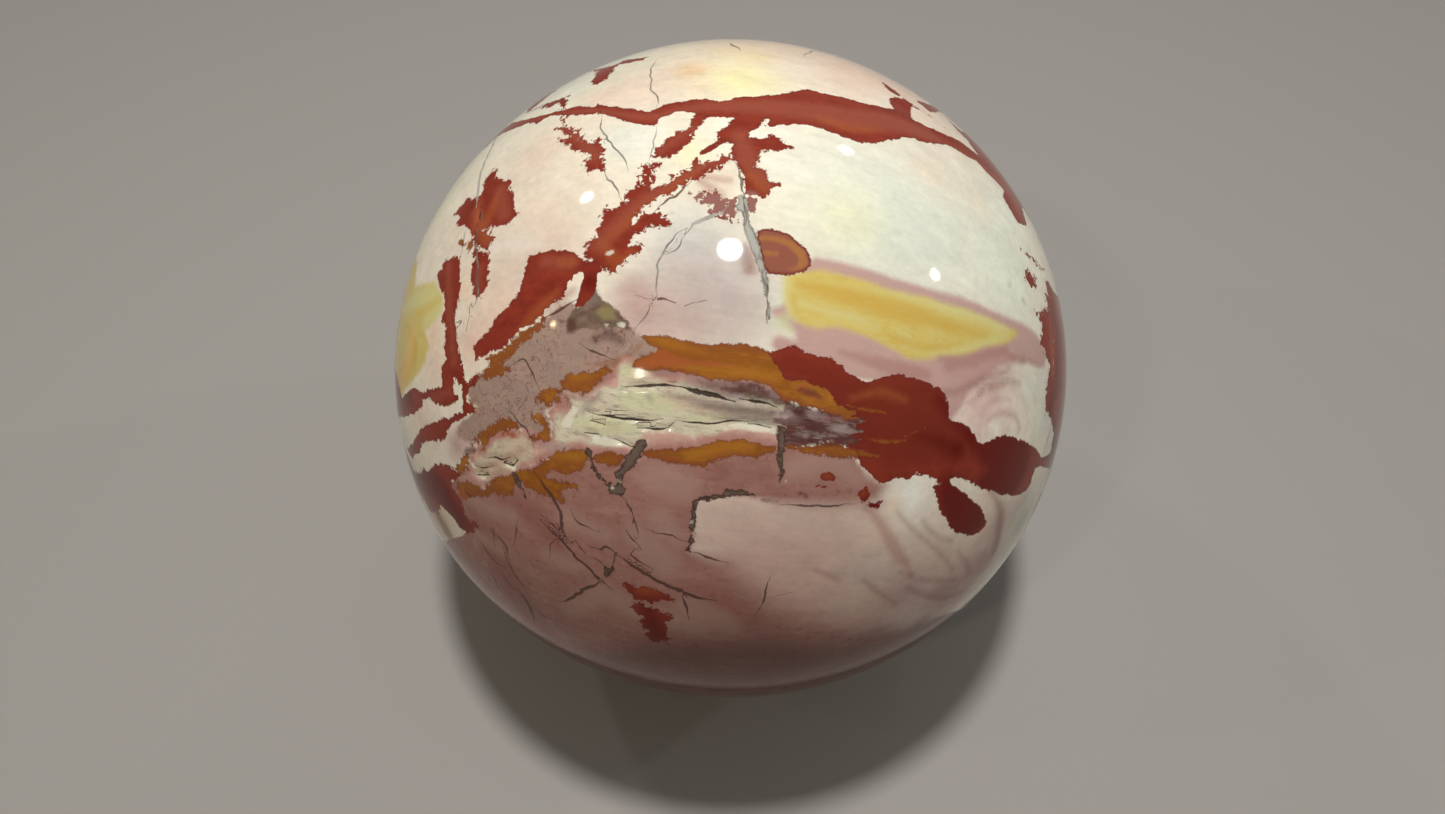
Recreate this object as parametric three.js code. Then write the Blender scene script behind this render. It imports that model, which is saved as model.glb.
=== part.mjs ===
// A jasper sphere, ground and polished by hand, resting on a small flat on its underside.
// Units are millimetres and +Z is up. The origin is the middle of the flat, on the surface that the stone
// rests on, and -Y is the side with the large brick-red and ochre lens.
import * as THREE from "three";

// Driving dimensions.
const WIDTH = 101; // across the equator
const HEIGHT_TO_WIDTH = 0.955; // of the whole spheroid, before the flat is ground on it
const FLAT_DIAMETER = 20; // the resting flat

// Hand grinding leaves a sphere a few tenths of a millimetre out of round. Each swell is centred on a
// direction from the stone's centre, in degrees. A negative height is a place ground a little too far.
const SWELL_SPREAD = 24; // degrees from a swell's centre to where it has sunk to 1/e of its height
const SWELLS = [
  { longitude: -147, latitude: -24, height: 0.4 },
  { longitude: -31, latitude: -23, height: 0.3 },
  { longitude: 138, latitude: 30, height: -0.45 },
  { longitude: -112, latitude: -38, height: -0.35 },
];
const SWELL_FADE_HEIGHT = 12; // swells fade out over this height above the flat, which stays flat

// How finely the surface is faceted.
const STEPS_AROUND = 90;
const STEPS_UP = 44;

const halfWidth = WIDTH / 2;
const halfHeight = halfWidth * HEIGHT_TO_WIDTH;
const flatRadius = FLAT_DIAMETER / 2;

// The rim of the flat, as an angle on the spheroid's outline below its equator.
const rimAngle = -Math.acos(flatRadius / halfWidth);
const centreHeight = -halfHeight * Math.sin(rimAngle);
const centre = new THREE.Vector3(0, 0, centreHeight);

// Half of the stone's upright section, from the middle of the flat round to the top.
function upright_section() {
  const points = [new THREE.Vector2(0, 0)];
  for (let step = 0; step < STEPS_UP; step++) {
    const angle = THREE.MathUtils.lerp(rimAngle, Math.PI / 2, step / STEPS_UP);
    points.push(
      new THREE.Vector2(
        halfWidth * Math.cos(angle),
        centreHeight + halfHeight * Math.sin(angle),
      ),
    );
  }
  points[1].y = 0; // the rim lies exactly in the flat
  points.push(new THREE.Vector2(0, centreHeight + halfHeight));
  return points;
}

// The unit vector that points from the stone's centre towards a longitude and latitude.
function towards(longitude, latitude) {
  const turn = THREE.MathUtils.degToRad(longitude);
  const lift = THREE.MathUtils.degToRad(latitude);
  return new THREE.Vector3(
    Math.cos(lift) * Math.cos(turn),
    Math.cos(lift) * Math.sin(turn),
    Math.sin(lift),
  );
}

// How far the surface stands proud of the spheroid in a direction: the sum of the swells, each a bell curve
// of the angle from its centre.
function swell_height(direction) {
  const spread = THREE.MathUtils.degToRad(SWELL_SPREAD);
  return SWELLS.reduce((sum, swell) => {
    const angle = direction.angleTo(towards(swell.longitude, swell.latitude));
    return sum + swell.height * Math.exp(-((angle / spread) ** 2));
  }, 0);
}

// Moves every point of the turned spheroid outwards by the swells, and leaves the flat as it is.
function swell(geometry) {
  const position = geometry.getAttribute("position");
  const point = new THREE.Vector3();
  const direction = new THREE.Vector3();
  for (let i = 0; i < position.count; i++) {
    point.fromBufferAttribute(position, i);
    direction.subVectors(point, centre).normalize();
    const fade = THREE.MathUtils.smoothstep(point.z, 0, SWELL_FADE_HEIGHT);
    point.addScaledVector(direction, fade * swell_height(direction));
    position.setXYZ(i, point.x, point.y, point.z);
  }
}

// The stone: the section turned about the upright axis, then swelled.
function make_stone() {
  const geometry = new THREE.LatheGeometry(upright_section(), STEPS_AROUND);
  geometry.rotateX(Math.PI / 2); // the lathe turns about Y
  swell(geometry);
  geometry.computeVertexNormals();
  const polished = new THREE.MeshStandardMaterial({
    color: 0xd9c6b8,
    roughness: 0.1,
    metalness: 0,
  });
  const stone = new THREE.Mesh(geometry, polished);
  stone.name = "jasper_sphere";
  return stone;
}

const part = new THREE.Group();
part.add(make_stone());

export default part;
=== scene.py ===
"""A polished jasper sphere, cream and mauve, with brick-red and ochre markings.

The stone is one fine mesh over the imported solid. Its markings are outlines drawn in the photograph's frame,
or in longitude and latitude on the side that the photograph doesn't show. Each layer of colour becomes one
number per vertex, the distance to its nearest outline, and the material paints the layers from those numbers.
"""

import itertools
import math

import bpy
import numpy as np
from mathutils import Matrix, Vector


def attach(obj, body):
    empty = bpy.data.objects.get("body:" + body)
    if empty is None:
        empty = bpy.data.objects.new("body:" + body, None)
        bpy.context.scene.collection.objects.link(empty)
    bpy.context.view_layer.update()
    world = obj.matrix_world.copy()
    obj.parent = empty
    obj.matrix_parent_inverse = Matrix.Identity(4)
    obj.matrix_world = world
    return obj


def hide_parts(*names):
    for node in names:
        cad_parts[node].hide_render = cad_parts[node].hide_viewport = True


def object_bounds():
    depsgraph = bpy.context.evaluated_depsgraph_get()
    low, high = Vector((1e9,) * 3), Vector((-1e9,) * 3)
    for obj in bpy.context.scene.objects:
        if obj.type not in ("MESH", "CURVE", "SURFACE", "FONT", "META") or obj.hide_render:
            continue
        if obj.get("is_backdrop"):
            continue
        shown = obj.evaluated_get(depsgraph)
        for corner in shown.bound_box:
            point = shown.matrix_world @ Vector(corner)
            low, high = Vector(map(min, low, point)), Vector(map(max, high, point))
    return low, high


bl_info = {
    "name": "Jasper Sphere",
    "version": (1, 0, 0),
    "blender": (4, 5, 0),
    "location": "View3D > Sidebar > Jasper",
    "description": "Makes a polished picture jasper sphere and a plain studio around it",
    "category": "Add Mesh",
}

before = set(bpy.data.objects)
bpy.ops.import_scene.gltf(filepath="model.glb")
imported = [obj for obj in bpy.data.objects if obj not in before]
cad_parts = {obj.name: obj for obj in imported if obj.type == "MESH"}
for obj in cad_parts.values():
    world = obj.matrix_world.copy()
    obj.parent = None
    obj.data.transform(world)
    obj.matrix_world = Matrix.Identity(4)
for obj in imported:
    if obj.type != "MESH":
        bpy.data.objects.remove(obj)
CAD_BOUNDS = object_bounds()

MM = 0.001
NODE = "jasper_sphere"

# The photograph's frame, in pixels, and where the camera stood.
IMAGE_WIDTH = 1445
IMAGE_HEIGHT = 814
SENSOR_WIDTH = 36.0  # millimetres
LENS = 26.0  # millimetres
PIXELS_PER_TANGENT = IMAGE_WIDTH * LENS / SENSOR_WIDTH
CAMERA_HEIGHT_ANGLE = 50.0  # degrees above the level
CAMERA_DISTANCE = 3.2587  # half widths of the stone, from its middle
STONE_IN_IMAGE = (729.9, 367.9)  # pixels, where the stone's middle shows
PIXELS_PER_DEGREE = 4.0  # how a drawn place past the stone's outline goes on round behind it

# The spheroid's shape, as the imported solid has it.
HEIGHT_TO_WIDTH = 0.955
SWELL_SPREAD = 24.0  # degrees
SWELL_FADE_HEIGHT = 12.0  # millimetres
SWELLS = [  # longitude and latitude in degrees, height in millimetres
    (-147, -24, 0.4),
    (-31, -23, 0.3),
    (138, 30, -0.45),
    (-112, -38, -0.35),
]

# Brick-red markings. Each has how ragged its edge is, and its outline in the photograph's pixels.
RED = {
    "upper band": (0.07, [
        (499, 132), (512, 123), (577, 106.5), (596, 107), (597, 104), (650, 112), (664, 104.5), (677, 102),
        (706, 99), (718, 102), (741, 96.5), (777, 95), (806, 89), (893, 109.5), (888, 99), (897, 96.5),
        (910, 102), (911, 119), (960, 141), (979, 156), (969, 143), (967, 133), (976, 130), (992, 142),
        (1010, 160), (1040, 205), (1034, 214), (1022, 208), (1027, 226), (1018, 223), (1003, 197),
        (1004, 190), (977, 162), (948, 145), (921, 142.5), (916, 139), (904, 138), (874, 143.5), (856, 142),
        (818, 127), (797, 124), (766, 126), (770, 119.5), (766, 119), (752, 133), (745, 136), (735, 128),
        (733, 119), (728, 118), (709, 117), (704, 120), (694, 113), (680, 111), (662, 118), (655, 126),
        (634, 123.5), (597, 112), (596, 114.5), (550, 116), (538, 123), (529, 123), (503, 133), (470, 154),
        (478, 145),
    ]),
    "trunk": (0.14, [
        (728, 112), (733, 119), (717, 133), (718, 137), (714, 140), (733, 144), (731, 153), (744, 177),
        (744, 185), (749, 195), (762, 196.5), (768, 195), (775, 188), (783, 188), (784, 185), (771, 180),
        (764, 169), (754, 166), (760, 160), (759, 155), (770, 149), (776, 151.5), (793, 148), (773, 135),
        (749, 137), (756, 112),
    ]),
    "branch": (0.16, [
        (697, 113), (686, 129), (677, 132), (668, 138), (666, 144), (656, 148), (654, 157), (664, 159),
        (673, 155), (694, 138), (691, 135), (709, 115),
    ]),
    "sliver": (0.04, [
        (719, 140), (700, 151), (697, 157), (713, 150.5), (723, 143),
    ]),
    "trunk foot": (0.10, [
        (748, 196), (756, 198), (756, 212), (750, 213), (747, 205),
    ]),
    "middle vein": (0.20, [
        (733, 148), (727, 156), (719, 157), (717, 161), (701, 163), (698, 159), (688, 161), (692, 168),
        (669, 176), (671, 179), (668, 183), (655, 187), (642, 184), (630, 193), (625, 202), (607, 208),
        (598, 222), (594, 236), (583, 243), (583, 247), (587, 250), (584, 258), (597, 260), (600, 272),
        (619, 270), (627, 263), (628, 258), (639, 252), (640, 248), (631, 248), (630, 243), (641, 232),
        (667, 225), (669, 219), (660, 214), (658, 208), (633, 223), (633, 219), (641, 210), (652, 203),
        (658, 195), (672, 194), (690, 181), (724, 168), (735, 152),
    ]),
    "middle knot": (0.24, [
        (653, 156), (655, 163), (659, 165), (652, 172), (659, 177), (653, 179), (648, 188), (641, 188),
        (643, 184), (638, 177), (640, 168), (647, 163), (649, 166),
    ]),
    "neck": (0.05, [
        (582, 262), (601, 261), (594, 294), (582, 307), (575, 306), (583, 276),
    ]),
    "faded spot": (0.24, [
        (690, 192), (716, 191), (726, 203), (736, 199), (737, 202), (733, 204), (735, 208), (730, 218),
        (727, 217), (728, 212), (720, 211), (712, 214), (713, 206), (704, 203), (696, 206), (698, 196),
    ]),
    "small dendrite": (0.22, [
        (560, 113), (563, 113), (568, 126), (583, 129), (574, 131), (580, 138), (583, 136), (588, 143),
        (600, 139), (599, 144), (606, 151), (602, 152), (606, 155), (600, 156), (603, 169), (589, 170),
        (590, 165), (585, 162), (590, 158), (588, 153), (584, 155), (583, 152), (575, 149), (570, 150),
        (568, 147), (570, 144), (562, 141), (558, 144), (557, 140), (569, 138), (564, 129), (554, 129),
        (563, 126.5),
    ]),
    "upper dendrite": (0.16, [
        (561, 114), (561, 106), (557, 104), (548, 109), (539, 107), (530, 113), (526, 112), (570, 95),
        (564, 100), (570, 101), (569, 104), (564, 104), (564, 114),
    ]),
    "rim streak": (0.14, [
        (526, 112), (532, 104), (553, 88), (556, 90), (530, 111),
    ]),
    "top patch": (0.18, [
        (616, 65), (607, 79), (598, 84), (591, 82), (598, 71), (590, 71),
    ]),
    "top sliver": (0.10, [
        (617, 65), (622, 61), (647, 57), (643, 60),
    ]),
    "left blob": (0.16, [
        (490, 174), (493, 170), (499, 171), (496, 173), (501, 178), (510, 181), (517, 214), (511, 220),
        (483, 230), (484, 234), (492, 238), (491, 247), (486, 247), (491, 251), (485, 251), (474, 245),
        (470, 227), (460, 226), (457, 223), (459, 219), (454, 214), (468, 199), (479, 198), (485, 188),
        (483, 184),
    ]),
    "left streak": (0.14, [
        (457, 256), (460, 258), (461, 277), (455, 323), (456, 338), (465, 379), (468, 382), (478, 375),
        (480, 378), (467, 392), (463, 392), (462, 386), (452, 377), (443, 347), (446, 326), (440, 317),
        (445, 308), (445, 299), (438, 286), (437, 277), (445, 261),
    ]),
    "second streak": (0.18, [
        (479, 249), (491, 257), (489, 266), (491, 272), (487, 289), (477, 300), (474, 296), (470, 272),
        (473, 268), (473, 252), (475, 248),
    ]),
    "left hook": (0.08, [
        (449, 358), (441, 366), (443, 387), (427, 390), (426, 393), (413, 388), (384, 412), (386, 424),
        (398, 416), (404, 417), (416, 413), (423, 407), (423, 401), (429, 398), (435, 404), (446, 407),
        (458, 401), (459, 394), (455, 395), (453, 391), (454, 372),
    ]),
    "left leg": (0.09, [
        (463, 386), (469, 386), (465, 400), (477, 409), (452, 424), (447, 431), (446, 440), (441, 441),
        (440, 438), (423, 443), (420, 452), (416, 453), (413, 460), (407, 450), (421, 430), (426, 425),
        (447, 419), (462, 411),
    ]),
    "left foot": (0.13, [
        (410, 470), (416, 472), (424, 469), (428, 473), (433, 464), (438, 463), (456, 468), (461, 477),
        (452, 481), (451, 486), (462, 500), (466, 517), (472, 521), (475, 530), (472, 533), (462, 530),
        (444, 507), (441, 506), (438, 514), (435, 509), (431, 513), (418, 489), (396, 482), (392, 474),
        (400, 468),
    ]),
    "left foot spot": (0.16, [
        (473, 523), (477, 524), (480, 528), (480, 530), (475, 528),
    ]),
    "big left blob": (0.10, [
        (546, 250), (570, 250), (576, 253), (584, 264), (585, 270), (580, 271), (569, 281), (563, 296),
        (544, 311), (535, 322), (524, 327), (502, 349), (480, 357), (475, 362), (474, 345), (517, 295),
        (530, 256),
    ]),
    "red mass": (0.07, [
        (768, 353), (795, 344), (803, 351), (832, 360), (858, 378), (868, 381), (896, 373.5), (925, 381),
        (941, 389), (949, 402), (950, 419), (967, 426), (980, 444), (983, 445), (993, 438), (1006, 435),
        (1026, 442), (1036, 449), (1042, 458), (1056, 450), (1064, 462), (1056, 474), (1048, 468),
        (1040, 466), (1035, 468), (1030, 485), (1026, 491), (1016, 497), (985, 490), (960, 478), (950, 478),
        (951, 483), (980, 506), (986, 519), (986, 526), (978, 534), (971, 536), (960, 534), (950, 530),
        (947, 518), (939, 510), (935, 490), (927, 487), (943, 485), (940, 482), (917, 473), (910, 480),
        (896, 478), (889, 482), (878, 483), (860, 462), (857, 449), (842, 447), (862, 441), (850, 436),
        (868, 431), (852, 427), (866, 421), (848, 417), (858, 412), (838, 406), (826, 389), (800, 380),
        (786, 379),
    ]),
    "right streak": (0.20, [
        (1046, 292), (1052, 296), (1060, 296), (1078, 310), (1088, 370), (1080, 440), (1064, 466),
        (1046, 468), (1040, 462), (1050, 453), (1054, 436), (1052, 424), (1044, 408), (1049, 368),
        (1041, 341), (1042, 325), (1035, 313), (1042, 314), (1044, 308), (1048, 306), (1045, 300),
    ]),
    "right mark": (0.18, [
        (1019, 247), (1026, 251), (1045, 270), (1042, 269), (1030, 260),
    ]),
    "right spot": (0.22, [
        (1029, 270), (1033, 277), (1036, 276), (1038, 279), (1035, 281), (1036, 286), (1032, 287),
        (1025, 277), (1024, 273),
    ]),
    "corner fork": (0.10, [
        (904, 98), (949, 130), (927, 114), (912, 106), (906, 106),
    ]),
    "corner bar": (0.10, [
        (915, 100), (934, 106), (944, 104), (942, 112), (930, 112),
    ]),
    "corner streak": (0.10, [
        (946, 118), (962, 132), (970, 132), (972, 140), (966, 139),
    ]),
    "high streak": (0.12, [
        (881, 81), (903, 96), (896, 95), (890, 91),
    ]),
    "low spot": (0.14, [
        (625, 584), (652, 587), (677, 600), (665, 600), (654, 605), (634, 599), (633, 593), (626, 590),
    ]),
    "lowest spot": (0.18, [
        (627, 604), (640, 603), (671, 614), (672, 618), (663, 625), (667, 635), (674, 641), (652, 641),
        (646, 637), (644, 634), (648, 631), (641, 626), (640, 622), (643, 619),
    ]),
    "dot one": (0.05, [
        (819, 474), (829, 472), (837, 477), (833, 480), (823, 481),
    ]),
    "dot two": (0.05, [
        (814, 486), (820, 485), (830, 488), (829, 489.5), (823, 489),
    ]),
    "dot three": (0.05, [
        (856, 494), (866, 486), (871, 494), (865, 501), (860, 500),
    ]),
    "dot four": (0.08, [
        (861, 502), (871, 503), (882, 500), (880, 508), (875, 509),
    ]),
}

# The ringed eye beside the grey vein.
EYE = {
    "eye": (0.05, [
        (757, 231), (764, 229), (772, 229), (780, 231), (788, 234), (801, 244), (807, 250), (811, 257),
        (812, 263), (809, 268), (803, 271), (795, 274), (786, 275), (777, 275), (769, 272), (764, 267),
        (761, 256),
    ]),
}

# Ochre bands and patches, most of them round the lens.
OCHRE = {
    "lens top": (0.06, [
        (640, 337), (644, 335), (662, 336), (705, 344.5), (742, 344), (766, 350), (780, 356), (790, 374),
        (824, 380), (844, 398), (858, 406), (864, 418), (852, 421), (838, 415), (782, 400), (774, 390),
        (758, 382), (712, 380), (668, 370), (645, 370), (632, 367), (636, 360), (658, 350),
    ]),
    "lens bottom right": (0.08, [
        (776, 446), (744, 440), (718, 440.5), (697, 447), (641, 451), (641, 456), (678, 464), (705, 466),
        (726, 456), (750, 457), (768, 454), (776, 451),
    ]),
    "lens bottom middle": (0.10, [
        (594, 455), (608, 451), (627, 454), (618, 465), (610, 466), (596, 463), (592, 458),
    ]),
    "lens bottom left": (0.14, [
        (455, 482), (468, 482), (484, 489), (499, 476), (511, 474), (523, 468), (534, 467), (542, 460),
        (560, 451), (576, 450), (589, 453), (590, 459), (578, 472), (566, 475), (553, 470), (550, 473),
        (542, 474), (549, 479), (574, 483), (579, 488), (562, 490), (560, 495), (567, 501), (563, 503),
        (521, 484), (517, 486), (512, 495), (497, 494), (463, 498), (456, 488),
    ]),
    "right strip": (0.10, [
        (785, 443), (796, 446), (832, 442), (856, 449), (876, 460), (806, 453), (785, 448),
    ]),
    "upper chain": (0.18, [
        (545, 317), (548, 321), (539, 332), (521, 344), (516, 354), (500, 364), (509, 366), (511, 369),
        (506, 374), (500, 378), (489, 376), (486, 380), (481, 379), (475, 382), (471, 380), (488, 369),
        (491, 364), (488, 360), (490, 356), (503, 349), (513, 338), (539, 319),
    ]),
    "chain blob": (0.16, [
        (560, 386), (572, 374), (580, 371), (594, 373), (606, 369), (610, 372), (592, 390), (583, 395),
        (560, 390),
    ]),
    "chain arc": (0.16, [
        (560, 386), (550, 387), (540, 392), (534, 400), (543, 405), (541, 409), (532, 414), (530, 419),
        (543, 426), (544, 430), (530, 436), (532, 440), (548, 440), (551, 436), (552, 430), (550, 424),
        (543, 417), (543, 411), (560, 402), (558, 396), (558, 391), (562, 390),
    ]),
    "chain arch": (0.18, [
        (480, 430), (486, 430), (497, 418), (513, 420), (518, 423), (520, 428), (497, 436), (490, 435),
        (488, 447), (484, 451), (479, 450), (480, 441), (471, 446),
    ]),
    "chain foot": (0.16, [
        (462, 455), (468, 455), (470, 459), (467, 468), (458, 476), (455, 472),
    ]),
    "leg stain": (0.16, [
        (464, 397), (469, 396), (469, 402), (477, 409), (474, 413), (467, 413), (463, 409),
    ]),
    "blob stain": (0.18, [
        (462, 238), (466, 243), (472, 237), (474, 245), (470, 249), (456, 246),
    ]),
}

# Thin red-brown streaks and the dark loop that lie in the ochre.
OCHRE_STREAKS = {
    "lens streak": (0.08, [
        (632, 366), (636, 361), (652, 356), (656, 350), (662, 350), (690, 359), (712, 361), (748, 368),
        (700, 366), (690, 364), (645, 369),
    ]),
    "dark loop": (0.10, [
        (795, 383), (810, 389), (825, 398), (815, 399), (806, 397), (799, 392),
    ]),
    "arch fringe": (0.16, [
        (500, 434), (519, 430), (519, 437), (503, 437),
    ]),
    "foot fringe": (0.16, [
        (457, 489), (463, 488), (470, 491), (470, 496), (464, 500), (459, 497),
    ]),
}

# Yellow patches with soft edges.
YELLOW = {
    "big patch": (0.03, [
        (782, 277), (786, 273), (812, 270), (822, 270), (852, 276), (892, 289), (928, 297), (968, 309),
        (1016, 329), (1019, 335), (1003, 345), (986, 347), (972, 353), (926, 360), (908, 359), (880, 343),
        (856, 333), (838, 328), (818, 329), (803, 325), (788, 318), (783, 302),
    ]),
    "left patch": (0.05, [
        (384, 300), (402, 289), (436, 281), (443, 296), (443, 312), (425, 331), (429, 346), (425, 364),
        (412, 382), (400, 398), (386, 402), (376, 380), (374, 340),
    ]),
}

# The mauve-pink border of the big yellow patch.
RIM = {
    "patch border": (0.03, [
        (809, 260), (816, 257), (840, 261), (960, 296), (1005, 315), (1022, 323), (1037, 335), (1047, 352),
        (1044, 369), (1018, 360), (1000, 368), (970, 392), (950, 424), (930, 400), (900, 385), (850, 378),
        (800, 356), (776, 352), (772, 345), (773, 337), (780, 335), (796, 340), (793, 333), (771, 314),
        (769, 309), (784, 303), (800, 272),
    ]),
}

# The grey-mauve brown ground of the chain and the lens's left end.
BRECCIA = {
    "ground": (0.08, [
        (464, 388), (472, 378), (494, 362), (494, 356), (556, 308), (568, 303), (583, 307), (592, 297),
        (600, 300), (640, 336), (664, 345), (664, 352), (650, 357), (640, 366), (622, 372), (620, 384),
        (598, 390), (570, 412), (560, 404), (546, 412), (552, 424), (552, 440), (532, 443), (524, 430),
        (488, 436), (476, 444), (464, 440), (455, 432), (462, 420), (478, 408), (470, 402),
    ]),
}

# The rough pale lenses, where the stone looks like weathered bark.
BARK = {
    "lens": (0.12, [
        (620, 372), (625, 364), (648, 370), (656, 378), (672, 379), (731, 397), (752, 390), (786, 407),
        (770, 412), (788, 417), (772, 422), (786, 427), (772, 431), (740, 427), (730, 428), (712, 435),
        (704, 433), (685, 434), (668, 430), (660, 431), (650, 433), (629, 449), (620, 447), (600, 448),
        (578, 441), (562, 445), (554, 438), (552, 420), (562, 412), (570, 417), (573, 406), (567, 397),
        (556, 391), (562, 388), (575, 391), (582, 396), (602, 386), (618, 387),
    ]),
    "small lens": (0.12, [
        (470, 461), (474, 463), (494, 443), (503, 439), (527, 437), (532, 442), (533, 450), (530, 457),
        (519, 461), (513, 472), (500, 474), (490, 482), (478, 477),
    ]),
}

# Pink-white strips and pockets beside the bark.
PINK = {
    "lens strip": (0.08, [
        (545, 454), (560, 440), (556, 430), (560, 418), (568, 408), (612, 374), (622, 356), (690, 366),
        (770, 382), (790, 400), (800, 415), (790, 450), (742, 450), (640, 460), (552, 460),
    ]),
    "chain pocket": (0.14, [
        (556, 391), (563, 389), (572, 392), (582, 396), (584, 401), (570, 416), (563, 436), (530, 450),
        (533, 441), (548, 440), (552, 430), (551, 422), (546, 414), (560, 400),
    ]),
    "small strip": (0.14, [
        (458, 472), (474, 448), (494, 430), (520, 426), (562, 440), (556, 458), (486, 494), (460, 488),
    ]),
}

# The dark streaky ground where the lens meets the red mass.
MIXING = {
    "lens end": (0.12, [
        (728, 392), (742, 386), (758, 384), (792, 402), (830, 410), (860, 408), (878, 424), (876, 450),
        (850, 450), (830, 444), (796, 447), (780, 444), (786, 436), (768, 412), (738, 400),
    ]),
}

# The brown-mauve ground below the lens. Its crisp edge is the stepped crack of the pale block.
MAUVE = {
    "lower ground": (0.05, [
        (462, 474), (490, 486), (520, 470), (560, 456), (660, 455), (740, 448), (800, 448), (850, 454),
        (868, 474), (886, 486), (879, 500), (868, 504), (850, 503.5), (825, 506.5), (800, 506),
        (752, 497.5), (730, 496), (702, 499), (697, 503), (693, 541), (690, 551), (730, 564), (772, 600),
        (810, 616), (860, 626), (910, 623), (960, 610), (1000, 592), (1050, 575), (1040, 640), (900, 740),
        (700, 780), (560, 740), (470, 660), (420, 590), (404, 552), (425, 538), (445, 541), (462, 536),
        (469, 528), (450, 500), (450, 484),
    ]),
}

# The brown-grey wedge above the lens.
WEDGE = {
    "wedge": (0.06, [
        (592.5, 279.5), (596.5, 290.5), (602, 298), (626.5, 320.5), (630, 326), (626, 329), (617, 327),
        (596, 329), (584, 328), (567, 333), (566, 321.5), (573, 311), (584.5, 304.5), (592, 295),
    ]),
}

# Grey-green veins that are wide enough to have an outline.
GREY = {
    "middle vein": (0.04, [
        (739, 196), (744, 195), (747, 200), (751, 228), (757, 234), (765, 270), (768, 277), (767, 297),
        (771, 312), (771, 319), (768, 320), (761, 275), (744, 232), (742, 213), (733, 206), (738, 203),
    ]),
}

# Brown-grey veins of the lower ground.
DARK_VEINS = {
    "fork right": (0.08, [
        (640, 441), (645, 440), (647, 444), (636, 463), (628, 472), (624, 474), (622, 480), (625, 491),
        (624, 497), (609, 493), (608, 488), (611, 485), (616, 484), (613, 474), (621, 465), (632, 448),
    ]),
    "fork left": (0.08, [
        (586, 449), (591, 450), (594, 465), (602, 477), (613, 485), (610, 489), (598, 478), (594, 472),
    ]),
    "right vein": (0.08, [
        (777, 429), (782, 428), (786, 431), (783, 462), (785, 470), (782, 484), (779, 480), (776, 450),
    ]),
    "step top": (0.07, [
        (756, 494), (750, 492), (729, 490), (722, 494), (704, 496), (692, 500), (692, 507), (696, 506),
        (700, 501), (708, 501), (738, 495), (746, 498), (753, 498),
    ]),
    "step side": (0.08, [
        (692, 505), (696, 505), (697, 512), (694, 532), (690, 531),
    ]),
    "step foot": (0.08, [
        (691, 536), (695, 539), (690, 553), (685, 551),
    ]),
    "small knot": (0.08, [
        (604, 565), (608, 568), (614, 566), (615, 569), (612, 575), (607, 579), (604, 577), (606, 572),
    ]),
    "pit patch": (0.08, [
        (513, 473), (518, 476), (521, 481), (521, 487), (516, 485),
    ]),
    "pit tail": (0.08, [
        (520, 487), (523, 489), (525, 493), (527, 499), (526, 501),
    ]),
}

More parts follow.
